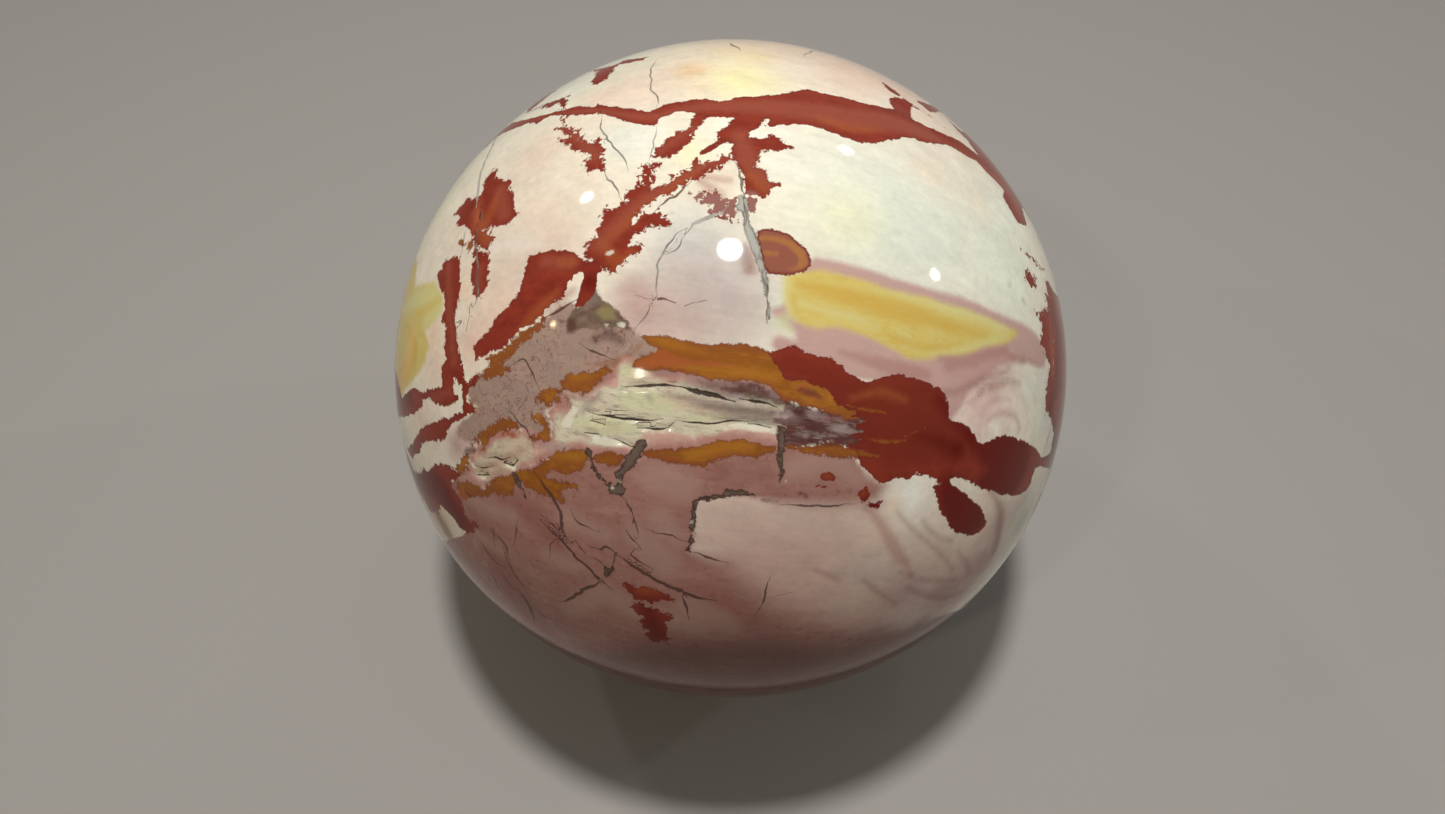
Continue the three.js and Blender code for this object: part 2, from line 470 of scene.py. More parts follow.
# Thin cracks: width in pixels, how red-brown against grey from 0 to 1, and the line in pixels.
CRACKS = {
    "left vein": (3.2, 0.05, [(499, 131), (486, 160), (480, 178), (476, 206)]),
    "upper left": (1.5, 0.26, [(602, 116), (602, 125), (604, 132), (622, 156), (628, 170)]),
    "upper left lower": (1.5, 0.26, [(603, 169), (607, 177), (617, 190), (621, 199)]),
    "upper middle": (1.4, 0.24, [(657, 60), (651, 70), (652, 88), (659, 100), (657, 108)]),
    "below band": (1.2, 0.2, [(656, 126), (652, 152), (648, 164)]),
    "trunk side": (2.4, 0.3, [(735, 164), (741, 179), (741, 188), (744, 198)]),
    "loop stem": (3.4, 0.16, [(728, 208), (712, 217), (697, 223), (685, 231)]),
    "loop left": (1.5, 0.26, [(685, 231), (678, 233), (667, 244), (660, 257), (658, 263), (655, 290),
        (656, 299)]),
    "loop right": (1.3, 0.26, [(687, 233), (678, 247), (672, 252), (666, 253), (661, 257)]),
    "dash": (3.4, 0.75, [(650, 300.5), (665, 299), (673, 301)]),
    "dash lead": (1.4, 0.4, [(638, 298), (651, 300)]),
    "vein head": (2.6, 0.3, [(742, 198), (745, 209), (746, 222)]),
    "vein foot": (2, 0.3, [(763, 272), (769, 306)]),
    "vein end": (2.6, 0.8, [(768, 311), (769, 320)]),
    "dash two": (2, 0.4, [(687, 303), (691, 303)]),
    "dash three": (2, 0.4, [(700, 303), (704, 303)]),
    "down left": (1.5, 0.3, [(649, 301), (647, 311), (635, 331)]),
    "slit line": (2, 0.9, [(692, 181), (676, 196), (668, 200), (655, 211)]),
    "second streak crack": (2, 0.3, [(477, 222), (476, 244), (478, 262), (477, 272), (478, 290), (476, 300),
        (472, 308)]),
    "second streak tail": (2.2, 0.5, [(472, 304), (470, 309), (472, 314)]),
    "second streak end": (2.2, 0.5, [(469, 316), (467, 329)]),
    "streak knot": (2.6, 0.8, [(457, 320), (461, 320), (461, 324), (458, 327)]),
    "left side": (1.4, 0.5, [(468, 228), (464, 236), (460, 256)]),
    "left wall": (1.6, 0.5, [(463, 371), (457, 344)]),
    "chain crack": (1.4, 0.5, [(511, 364), (519, 361), (526, 362), (540, 388)]),
    "chain crack two": (1.6, 0.5, [(508, 408), (516, 417), (529, 436), (533, 445)]),
    "chain crack three": (1.2, 0.4, [(478, 379), (481, 395)]),
    "wedge line": (1.6, 0.4, [(580, 345), (612, 361)]),
    "red thread": (2.4, 0.9, [(577, 301), (560, 308), (543, 320)]),
    "corner thread": (1.4, 0.8, [(948, 119), (962, 133)]),
    "right side": (2.6, 0.1, [(1052, 423), (1042, 457)]),
    "fork tail": (2.2, 0.4, [(623, 497), (630, 512), (631, 521)]),
    "step tail": (2.1, 0.62, [(690, 552), (726, 561)]),
    "step branch": (1.3, 0.62, [(688, 541), (647, 529)]),
    "lower one": (2.9, 0.62, [(536, 474), (557, 504), (562, 529), (566, 536), (571, 541)]),
    "lower two": (2.3, 0.62, [(543, 517), (557, 528), (562, 534)]),
    "lower three": (2.6, 0.62, [(541, 523), (558, 538), (588, 568), (611, 588)]),
    "lower four": (3.4, 0.62, [(577, 543), (584, 552)]),
    "lower five": (2.6, 0.62, [(593, 549), (601, 550), (607, 548), (617, 555)]),
    "lower six": (2.9, 0.62, [(595, 557), (606, 567)]),
    "lower seven": (3.1, 0.62, [(614, 568), (618, 555)]),
    "lower eight": (2.9, 0.62, [(600, 579), (598, 584), (582, 589), (580, 593), (561, 602)]),
    "long one": (3.1, 0.62, [(619, 554), (635, 567), (668, 586), (703, 598), (713, 600)]),
    "long branch": (2.3, 0.62, [(634, 549), (632, 556), (650, 569)]),
    "long stem": (2.1, 0.62, [(683, 591), (683, 597), (686, 604), (689, 618)]),
    "short one": (2.6, 0.62, [(628, 532), (639, 548)]),
    "short two": (1.6, 0.62, [(572, 511), (578, 520), (597, 532)]),
    "short three": (1.2, 0.62, [(556, 536), (548, 556)]),
    "short four": (1.3, 0.62, [(630, 512), (640, 538)]),
    "right low two": (1, 0.5, [(774, 598), (790, 592)]),
    "right low": (1.5, 0.5, [(770, 577), (759, 612)]),
    "left low one": (2.3, 0.62, [(493, 530), (505, 546), (509, 558)]),
    "left low two": (1.9, 0.62, [(478, 536), (493, 560), (505, 567)]),
    "left low three": (3.6, 0.7, [(518, 590), (525, 598), (534, 620)]),
    "left low four": (2.1, 0.62, [(498, 570), (518, 594)]),
    "left low five": (1.6, 0.62, [(461, 532), (468, 549)]),
    "left low six": (1.4, 0.62, [(503, 548), (510, 566), (531, 598)]),
    "left low seven": (1.6, 0.62, [(486, 524), (492, 532), (496, 546)]),
    "left low eight": (1.3, 0.62, [(517, 520), (516, 534), (513, 544)]),
    "left low nine": (1.5, 0.62, [(532, 606), (544, 616), (556, 622)]),
    "left low ten": (1.3, 0.62, [(488, 566), (506, 598)]),
    "spot tail": (1.8, 0.8, [(666, 642), (671, 649)]),
    "pale top dash": (3, 0.3, [(729, 43), (740, 50)]),
    "top rim thread": (1.6, 0.8, [(835, 56), (858, 62)]),
    "block top": (1.6, 0.5, [(784, 503), (812, 507), (852, 504)]),
}

# Fissures of the bark, and a hole in a red blob, that are cut into the surface: width in pixels, and the
# line.
FISSURES = {
    "upper": (2.5, [(628, 388), (655, 385), (680, 386.5)]),
    "upper thick": (4, [(679, 386.5), (732, 400)]),
    "upper right": (3, [(742, 400), (764, 403), (774, 406)]),
    "middle": (1.9, [(591, 413), (636, 420), (660, 420)]),
    "middle short": (1.8, [(609, 410), (624, 410.5)]),
    "left short": (3, [(593, 421), (602, 424)]),
    "left low": (3.2, [(587, 432.5), (596, 434)]),
    "lower": (2.2, [(640, 428), (665, 429), (672, 425)]),
    "lower right": (1.4, [(676, 421), (704, 423), (718, 423), (732, 421), (748, 422)]),
    "white edge": (2.2, [(750, 424), (768, 428)]),
    "edge left": (2.8, [(616, 440), (632, 447)]),
    "small one": (2.5, [(489, 458), (495, 457.5), (501, 459), (508, 458)]),
    "small two": (4, [(506, 464), (512, 466), (516, 461)]),
    "small three": (3.8, [(479, 475), (487, 475)]),
    "small four": (2, [(476, 466), (484, 468), (492, 467)]),
    "blob hole": (5.8, [(479, 209), (478, 220)]),
}

# Soft stains and streaks with no crisp edge, a few of them painted light and shade: lines of the
# photograph's x, y and half width, in pixels. One point alone is a round spot.
STREAKS = {
    "rust": [
        [(496, 198, 5), (490, 214, 7), (480, 228, 6), (486, 242, 7)],
        [(556, 292, 3), (540, 312, 8), (522, 332, 6)], [(600, 240, 3), (618, 262, 7), (632, 252, 3)],
        [(690, 346, 2), (715, 348, 4), (745, 349, 4), (768, 353, 4)],
        [(634, 363, 2), (655, 357, 4), (680, 358, 3), (710, 362, 2)],
        [(545, 320, 4), (515, 347, 4), (490, 366, 5), (507, 370, 3)],
        [(480, 194, 3), (478, 216, 6), (470, 236, 5)], [(562, 388, 2), (580, 385, 4), (598, 378, 2)],
        [(533, 402, 3), (546, 412, 4), (544, 432, 3)], [(508, 424, 3), (484, 436, 4)],
        [(466, 488, 3), (490, 490, 4), (520, 480, 3)], [(560, 466, 3), (600, 460, 3)],
        [(700, 168, 2), (640, 212, 5), (612, 236, 3)], [(750, 176, 5), (766, 190, 5)],
        [(820, 118, 4), (850, 128, 6), (880, 130, 3)], [(640, 590, 4), (656, 590, 5)], [(826, 476, 3)],
        [(863, 494, 3)], [(1050, 322, 4), (1052, 350, 5), (1053, 376, 3)], [(560, 262, 4), (572, 262, 4)],
        [(852, 398, 2), (880, 392, 4), (905, 400, 3)],
    ],
    # Partly the stone's lighter red and partly painted sheen: the upper band and the upper and left veins
    # made paler.
    "pale red": [
        [(515, 124, 2), (585, 111, 5), (650, 117, 6), (700, 107, 7), (780, 108, 12), (850, 118, 15),
         (900, 125, 12), (955, 148, 7), (1005, 188, 9), (1020, 215, 6)],
        [(600, 244, 8), (636, 208, 8), (690, 172, 6), (724, 156, 4)], [(690, 128, 6), (660, 150, 5)],
        [(740, 136, 8), (748, 160, 10), (768, 182, 8)], [(560, 120, 6), (596, 156, 8)],
        [(500, 190, 8), (504, 214, 8)], [(545, 262, 6), (572, 262, 6)],
        [(449, 266, 5), (449, 300, 6), (454, 362, 5)], [(474, 212, 6), (490, 236, 6)],
        [(480, 270, 5), (478, 290, 4)], [(433, 398, 3), (452, 392, 3)],
    ],
    "faded": [
        [(690, 200, 8), (730, 206, 11)], [(752, 196, 5), (753, 212, 5)],
    ],
    "mass red": [
        [(792, 362, 8), (830, 388, 16), (870, 416, 30), (925, 424, 36), (958, 446, 14)],
    ],
    # Partly the stone's own deeper red and partly painted shade, low on the stone, at its left and right
    # edges and at the bottom.
    "deep red": [
        [(918, 436, 2), (935, 440, 5), (958, 450, 8)], [(1052, 300, 4), (1058, 340, 6), (1057, 380, 6)],
        [(940, 400, 6), (985, 444, 14), (1012, 464, 32), (990, 486, 20)], [(948, 486, 12), (968, 518, 26)],
        [(405, 474, 14), (436, 486, 18), (458, 518, 16)], [(392, 402, 12), (410, 398, 8)], [(412, 446, 8)],
        [(1060, 380, 6), (1050, 410, 9), (1054, 450, 14)], [(646, 606, 5), (656, 634, 12)],
        [(872, 504, 10)], [(590, 282, 9)],
    ],
    "orange": [
        [(866, 438, 0.6), (880, 441, 1.4), (896, 442, 1.4), (906, 440, 0.6)],
        [(904, 436, 0.5), (925, 428, 0.5)],
        [(846, 449, 1), (858, 452, 2), (868, 455, 1.4), (878, 456, 0.6)],
        [(786, 396, 0.6), (806, 398, 1.2), (836, 406, 0.8)],
        [(846, 405, 0.5), (866, 410, 0.9), (886, 413, 0.5)],
    ],
    "mustard": [
        [(800, 285, 5), (890, 308, 9), (985, 336, 3)], [(793, 300, 3), (794, 312, 3)],
        [(812, 312, 1), (838, 312, 2), (866, 322, 2), (886, 332, 1)],
        [(880, 330, 1), (905, 342, 3), (935, 348, 3), (962, 344, 1)],
        [(410, 332, 4), (414, 352, 9), (402, 376, 9), (396, 390, 5)],
    ],
    "lemon": [
        [(786, 276, 3), (785, 300, 4), (790, 318, 5)],
        [(800, 303, 2), (830, 312, 3), (856, 318, 3), (878, 328, 2)],
        [(890, 292, 1), (950, 308, 4), (985, 320, 5), (1008, 330, 4)],
        [(930, 356, 2), (980, 345, 3), (1006, 336, 3)], [(438, 290, 8), (416, 300, 10), (396, 312, 5)],
        [(440, 310, 8), (426, 322, 8)],
    ],
    "brown": [
        [(897, 512, 0.8), (910, 527, 1.5), (933, 547, 1.6), (943, 557, 1.2), (953, 570, 1.2)],
        [(923, 520, 0.8), (930, 530, 1.4), (940, 538, 1.6), (952, 541, 0.8)],
        [(900, 572, 0.8), (925, 580, 1.6), (955, 580, 2)], [(958, 552, 1), (966, 562, 1.6), (970, 572, 1)],
        [(863, 580, 1), (872, 587, 2), (882, 595, 1.6), (896, 604, 0.8)],
        [(907, 587, 1.6), (918, 593, 2.4), (932, 597, 2.8), (947, 597, 2.4), (962, 592, 1.5)],
        [(815, 570, 0.6), (828, 575, 1.2), (840, 581, 0.6)],
        [(945, 391.5, 1.4), (957, 391, 2), (986, 378, 2.2), (1005, 372, 2.2), (1013, 362.5, 1.6),
         (1024, 362, 1.4)],
        [(978, 394, 1.4), (983, 388.5, 2.2), (989, 385, 2.4), (1007, 380.5, 2.6), (1020, 384, 1.6)],
        [(990, 490, 2), (1000, 508, 5), (999, 530, 6), (994, 552, 5)], [(436, 512, 8), (446, 530, 12)],
        [(745, 246, 2), (747, 257, 5), (750, 268, 5)],
    ],
    "rose": [
        [(866, 506, 3), (880, 523, 5), (897, 553, 6), (906, 564, 4), (912, 576, 2)],
        [(546, 312, 2), (560, 301, 4), (573, 290, 3)],
        [(983, 410.5, 0.8), (986, 405, 1.3), (992.5, 401, 1.5), (1003, 398.5, 1.3), (1011, 399.5, 1)],
        [(986, 424, 1), (990, 418.5, 1.8), (997.5, 414, 2.2), (1005, 413, 2.2), (1012, 415.5, 2.2),
         (1017, 420, 1.8), (1020, 427, 1.4), (1018, 432, 1)],
        [(968, 402, 1), (976, 398, 1.6), (984, 393, 1)], [(990, 389, 3), (1006, 385, 3)],
        [(840, 352, 2), (898, 369, 7), (926, 374, 5)], [(940, 358, 3), (958, 362, 5), (976, 362, 4)],
        [(744, 271, 1.4), (750, 273, 1.4), (757, 271, 1.4)], [(474, 470, 2), (494, 464, 3), (520, 452, 3)],
        [(486, 474, 2), (506, 470, 2)], [(1008, 356, 3), (1024, 360, 3), (1040, 366, 2)],
        [(948, 366, 5), (1005, 350, 5)], [(596, 382, 3), (606, 376, 6), (614, 371, 4)],
        [(565, 402, 5), (563, 413, 5)], [(664, 374, 4), (672, 378, 4)], [(672, 213, 1.3)],
        [(720, 196, 5), (700, 178, 4), (730, 180, 3)], [(560, 400, 4), (568, 410, 5)],
        [(500, 432, 3), (516, 433, 3)],
    ],
    "rosewood": [
        [(470, 510, 5), (490, 540, 12), (512, 590, 20), (545, 635, 18)], [(520, 592, 6), (536, 612, 8)],
        [(500, 500, 8), (528, 512, 12), (556, 540, 10)], [(450, 560, 10), (480, 610, 10)],
        [(720, 470, 6), (724, 484, 5), (742, 488, 4)], [(766, 488, 3), (778, 492, 5)],
        [(760, 470, 2), (774, 476, 3)], [(700, 600, 18), (740, 620, 16)],
    ],
    "putty": [
        [(468, 498, 6), (488, 508, 9), (512, 516, 8)], [(478, 536, 8), (500, 550, 8)],
        [(548, 556, 8), (572, 566, 8)], [(600, 590, 10), (640, 612, 12), (700, 628, 12)],
        [(636, 536, 12), (664, 562, 14)], [(690, 606, 14), (730, 628, 12)],
        [(655, 476, 14), (680, 486, 14)], [(570, 520, 10), (606, 536, 8)],
        [(790, 470, 10), (830, 462, 12), (860, 480, 8)], [(600, 596, 12), (570, 610, 10)],
        [(660, 520, 12), (676, 540, 8)],
    ],
    "slate": [
        [(1009, 285, 1.8), (1010, 285, 1.8)], [(1023, 300, 2.4), (1024, 302, 2.2)],
        [(690, 402, 3), (745, 412, 8), (770, 412, 6)], [(592.5, 288, 1.5), (596, 299, 3), (588, 307, 2.5)],
        [(656, 371, 3), (676, 372, 3)], [(686, 380, 2), (736, 390, 8), (760, 394, 5), (772, 400, 4)],
        [(664, 394, 2), (700, 401, 4), (772, 410, 5)], [(690, 412, 1), (790, 417, 3)],
        [(684, 375, 1), (716, 382, 4), (748, 386, 6), (776, 396, 5)], [(664, 386, 1), (724, 402, 3)],
        [(744, 420, 1), (780, 421, 3), (800, 420, 2)], [(736, 412, 6), (756, 414, 8), (774, 412, 6)],
        [(648, 396, 2), (651, 400, 2)], [(586, 408, 3), (600, 394, 2)],
    ],
    "maroon": [
        [(734, 383, 1), (748, 385, 2), (760, 388, 2), (768, 392, 1.5)], [(748, 395, 1), (752, 398, 1)],
        [(557, 391, 1), (564, 395, 1.5), (568, 401, 2), (571, 411, 1)], [(466, 452, 3), (474, 450, 3)],
        [(533, 358, 1.5)], [(763, 500, 1.5), (777, 501.5, 1)],
        [(800, 390, 2), (812, 393, 3), (822, 398, 1)], [(452, 500, 1), (456, 512, 1)],
        [(800, 494, 1.5), (806, 496, 1.5)], [(599, 306.5, 0.8), (575, 317, 1.2)],
        [(571.5, 323, 4), (571.5, 330, 4)], [(616, 313.5, 0.8), (624, 319.5, 1.8)],
        [(594, 337, 1.4), (596, 341, 2)], [(628, 326, 1.8), (632, 330, 1.8)],
        [(720, 388, 1.5), (745, 391.5, 2.5), (766, 397, 2)], [(466, 492, 2), (470, 496, 2)],
        [(784, 436, 3), (800, 442, 2), (838, 444, 2)],
    ],
    "green": [
        [(575, 422, 4), (600, 426, 6), (630, 428, 5)], [(626, 400, 6), (650, 402, 8), (670, 408, 4)],
        [(624, 371, 5), (640, 369, 6)], [(744, 392, 1), (752, 395, 3), (758, 397, 1)],
        [(680, 416, 1), (700, 417, 2.5), (730, 418, 1.5)], [(768, 404, 1), (776, 407, 2)],
        [(783, 322, 7), (790, 330, 4)],
    ],
    "olive": [
        [(601, 312, 4), (606, 313, 6.5), (611, 316, 4)],
    ],
    "ring": [
        [(760, 238.5, 2.2), (772, 238.5, 2.6), (787, 242.5, 3), (798.5, 251, 3.5), (803, 261, 3.6),
         (799, 267.5, 2.2), (790, 269, 1)],
        [(765, 253, 2.2), (775.5, 254, 2.2)],
    ],
    "amber": [
        [(412, 336, 10), (408, 362, 12), (398, 386, 8)],
    ],
    "umber": [
        [(594, 338, 3), (610, 335, 5), (622, 342, 3)], [(700, 404, 1), (730, 409, 2.5), (772, 414, 3)],
        [(712, 418, 0.6), (776, 420, 2)], [(700, 383, 1.5), (722, 388, 3), (745, 391, 4), (765, 396, 3.5)],
        [(786, 404, 2), (802, 412, 4), (812, 432, 3)],
    ],
    # Painted shade, not a stain: a wide, very soft umber zone that darkens the lower front of the stone.
    "shade": [
        [(580, 690, 100), (650, 706, 170), (730, 712, 190), (810, 704, 175), (890, 676, 130)],
    ],
    "sand": [
        [(478, 468, 5), (500, 462, 12), (524, 446, 9)], [(664, 400, 5), (720, 410, 7)],
        [(640, 386, 3), (634, 378, 3)], [(752, 252, 2), (752, 266, 4)],
    ],
    "lilac": [
        [(828, 428, 1.5), (838, 428, 4), (849, 430, 2)], [(745, 246, 2.5), (747, 254, 4), (744, 265, 3)],
        [(807, 414, 2), (815, 415, 4), (824, 418, 1)], [(778, 414, 2), (787, 413, 3), (795, 417, 1)],
        [(794, 433, 1), (806, 436, 2)], [(545, 445, 4), (565, 448, 4)], [(726, 398, 3), (738, 398, 4)],
    ],
    "ember": [
        [(586, 364, 1), (604, 364.5, 2), (616, 362, 3), (637, 350, 1)], [(640, 346, 1.5), (632, 352, 1)],
        [(476, 398, 2), (468, 408, 3)],
    ],
    "golden": [
        [(650, 339, 2), (668, 342, 3.5), (704, 352, 2)], [(690, 367, 1.5), (745, 374, 4.5), (776, 379, 4)],
        [(796, 385, 3), (818, 391, 3)], [(548, 457, 2), (562, 455, 4), (580, 458, 5)],
        [(574, 378, 4), (590, 378, 3)], [(690, 455, 4), (720, 448, 5), (750, 446, 4)],
        [(484, 438, 3), (484, 446, 3)], [(537, 417, 3), (546, 434, 3)], [(524, 474, 4), (506, 484, 4)],
    ],
    "chalk": [
        [(596, 440, 3), (612, 442, 4), (626, 444, 2)], [(574, 410, 3), (566, 424, 4)],
        [(724, 430, 1.5), (740, 426, 2.5), (758, 428, 3), (774, 431, 2)],
        [(1054, 334, 0.5), (1053, 380, 0.5)], [(470, 461, 1.5), (474, 467, 1.5)],
        [(506, 466, 1), (514, 468, 2)], [(478, 477, 1), (486, 479, 1)], [(484, 488, 1.6)],
        [(619, 324.5, 2), (624, 325, 2)], [(607, 325, 1.6)], [(619, 481, 1.4)], [(612.5, 487, 1.4)],
        [(1019, 417.5, 1.3)], [(994, 428, 2.5)], [(785, 481, 1.5)], [(692, 522, 1.4)],
        [(612, 252, 2), (606, 254, 1)],
    ],
}

# The stains that lie over the pale stone: group, strength, and softness in millimetres.
GROUND_STAINS = [
    ("sand", 0.55, 0.80),
    ("green", 0.60, 0.60),
    ("rose", 0.50, 0.50),
    ("brown", 0.65, 0.70),
    ("ember", 0.60, 0.30),
    ("slate", 0.60, 0.50),
    ("umber", 0.60, 0.50),
    ("lilac", 0.45, 0.30),
]

# The colours that wash softly into the cream ground, as sRGB bytes.
GROUND_COLOURS = {
    "cream": (236, 226, 204),
    "milk": (244, 242, 228),
    "peach": (232, 200, 170),
    "blush": (220, 172, 152),
    "pink": (212, 184, 170),
    "mauve": (176, 140, 132),
    "lilac": (188, 170, 164),
    "mint": (222, 228, 208),
    "butter": (246, 240, 176),
    "grey": (178, 174, 164),
    "tan": (196, 156, 116),
    "block": (208, 180, 164),
    "dusk": (200, 162, 148),
    "petal": (222, 184, 176),
    "cool": (194, 200, 196),
    "apricot": (240, 194, 138),
    "straw": (246, 222, 138),
}

# Washes on the photographed side: x, y and radius in pixels, colour, and strength.
WASHES = [
    (640, 88, 45, "blush", 0.35), (690, 70, 20, "peach", 0.7), (744, 78, 36, "butter", 1),
    (692, 70, 12, "apricot", 0.8), (762, 58, 14, "straw", 0.85), (702, 88, 14, "peach", 0.4),
    (600, 97, 22, "blush", 0.35), (622, 140, 22, "mint", 0.6), (740, 52, 30, "butter", 0.6),
    (800, 66, 36, "milk", 0.6), (850, 84, 36, "peach", 0.3), (890, 100, 26, "milk", 0.6),
    (540, 150, 30, "blush", 0.3), (550, 200, 70, "peach", 0.3), (470, 230, 70, "pink", 0.35),
    (560, 240, 24, "blush", 0.25), (520, 280, 50, "pink", 0.5), (490, 330, 30, "blush", 0.35),
    (640, 140, 30, "milk", 0.5), (690, 150, 18, "butter", 0.5), (740, 130, 30, "milk", 0.5),
    (720, 180, 16, "peach", 0.5), (660, 250, 40, "milk", 0.3), (634, 290, 13, "mauve", 0.8),
    (650, 300, 14, "dusk", 0.4), (688, 250, 30, "cool", 0.75), (712, 284, 32, "cool", 0.65),
    (690, 290, 46, "pink", 0.6), (730, 300, 44, "lilac", 0.75), (680, 326, 28, "mauve", 0.4),
    (636, 318, 22, "mauve", 0.8), (620, 330, 22, "pink", 0.6), (830, 170, 50, "milk", 0.35),
    (862, 238, 30, "cool", 0.4), (918, 236, 50, "cool", 0.45), (1005, 215, 36, "milk", 0.6),
    (900, 200, 90, "mint", 0.65), (1000, 240, 50, "mint", 0.6), (930, 170, 22, "peach", 0.35),
    (975, 200, 22, "peach", 0.3), (850, 220, 30, "butter", 0.35), (1010, 300, 40, "mint", 0.6),
    (790, 310, 16, "mint", 0.6), (985, 395, 44, "petal", 0.85), (1000, 356, 24, "mauve", 0.2),
    (1030, 388, 14, "mint", 0.75), (1044, 385, 9, "milk", 0.6), (1005, 390, 8, "cream", 0.6),
    (995, 427, 7, "milk", 0.8), (1040, 420, 12, "mint", 0.6), (500, 300, 22, "peach", 0.45),
    (462, 292, 18, "peach", 0.6), (470, 345, 16, "blush", 0.6), (462, 436, 14, "petal", 0.8),
    (456, 446, 15, "mauve", 0.8), (472, 450, 8, "mauve", 0.6), (440, 520, 22, "tan", 0.8),
    (420, 412, 18, "peach", 0.6), (436, 366, 26, "blush", 0.45), (434, 332, 16, "peach", 0.8),
    (430, 430, 24, "pink", 0.5), (430, 500, 30, "tan", 0.35), (500, 505, 20, "pink", 0.5),
    (740, 520, 70, "block", 0.95), (840, 540, 70, "block", 0.95), (940, 570, 60, "block", 0.9),
    (720, 560, 40, "block", 0.9), (890, 550, 34, "pink", 0.6), (730, 595, 44, "dusk", 0.8),
    # The mauve washes low at the right, round (945, 590), are painted shade that darkens the lower right.
    (770, 560, 26, "dusk", 0.4), (945, 590, 30, "mauve", 0.85), (985, 560, 18, "mauve", 0.6),
    (1022, 520, 22, "grey", 0.6), (890, 600, 30, "lilac", 0.7), (830, 600, 30, "lilac", 0.4),
    (972, 556, 16, "dusk", 0.6), (880, 535, 14, "peach", 0.6), (800, 605, 50, "dusk", 0.9),
    (870, 612, 40, "dusk", 0.8), (955, 600, 34, "mauve", 0.7), (905, 590, 24, "mauve", 0.5),
    (982, 562, 26, "mauve", 0.7), (948, 552, 16, "mauve", 0.3), (915, 496, 24, "milk", 0.85),
    (893, 506, 9, "peach", 0.6), (950, 560, 20, "blush", 0.25), (960, 540, 30, "cream", 0.3),
    (1000, 522, 24, "mauve", 0.65), (1022, 500, 16, "mauve", 0.4), (990, 490, 14, "blush", 0.3),
    (868, 566, 20, "grey", 0.25), (800, 545, 24, "mauve", 0.15),
]

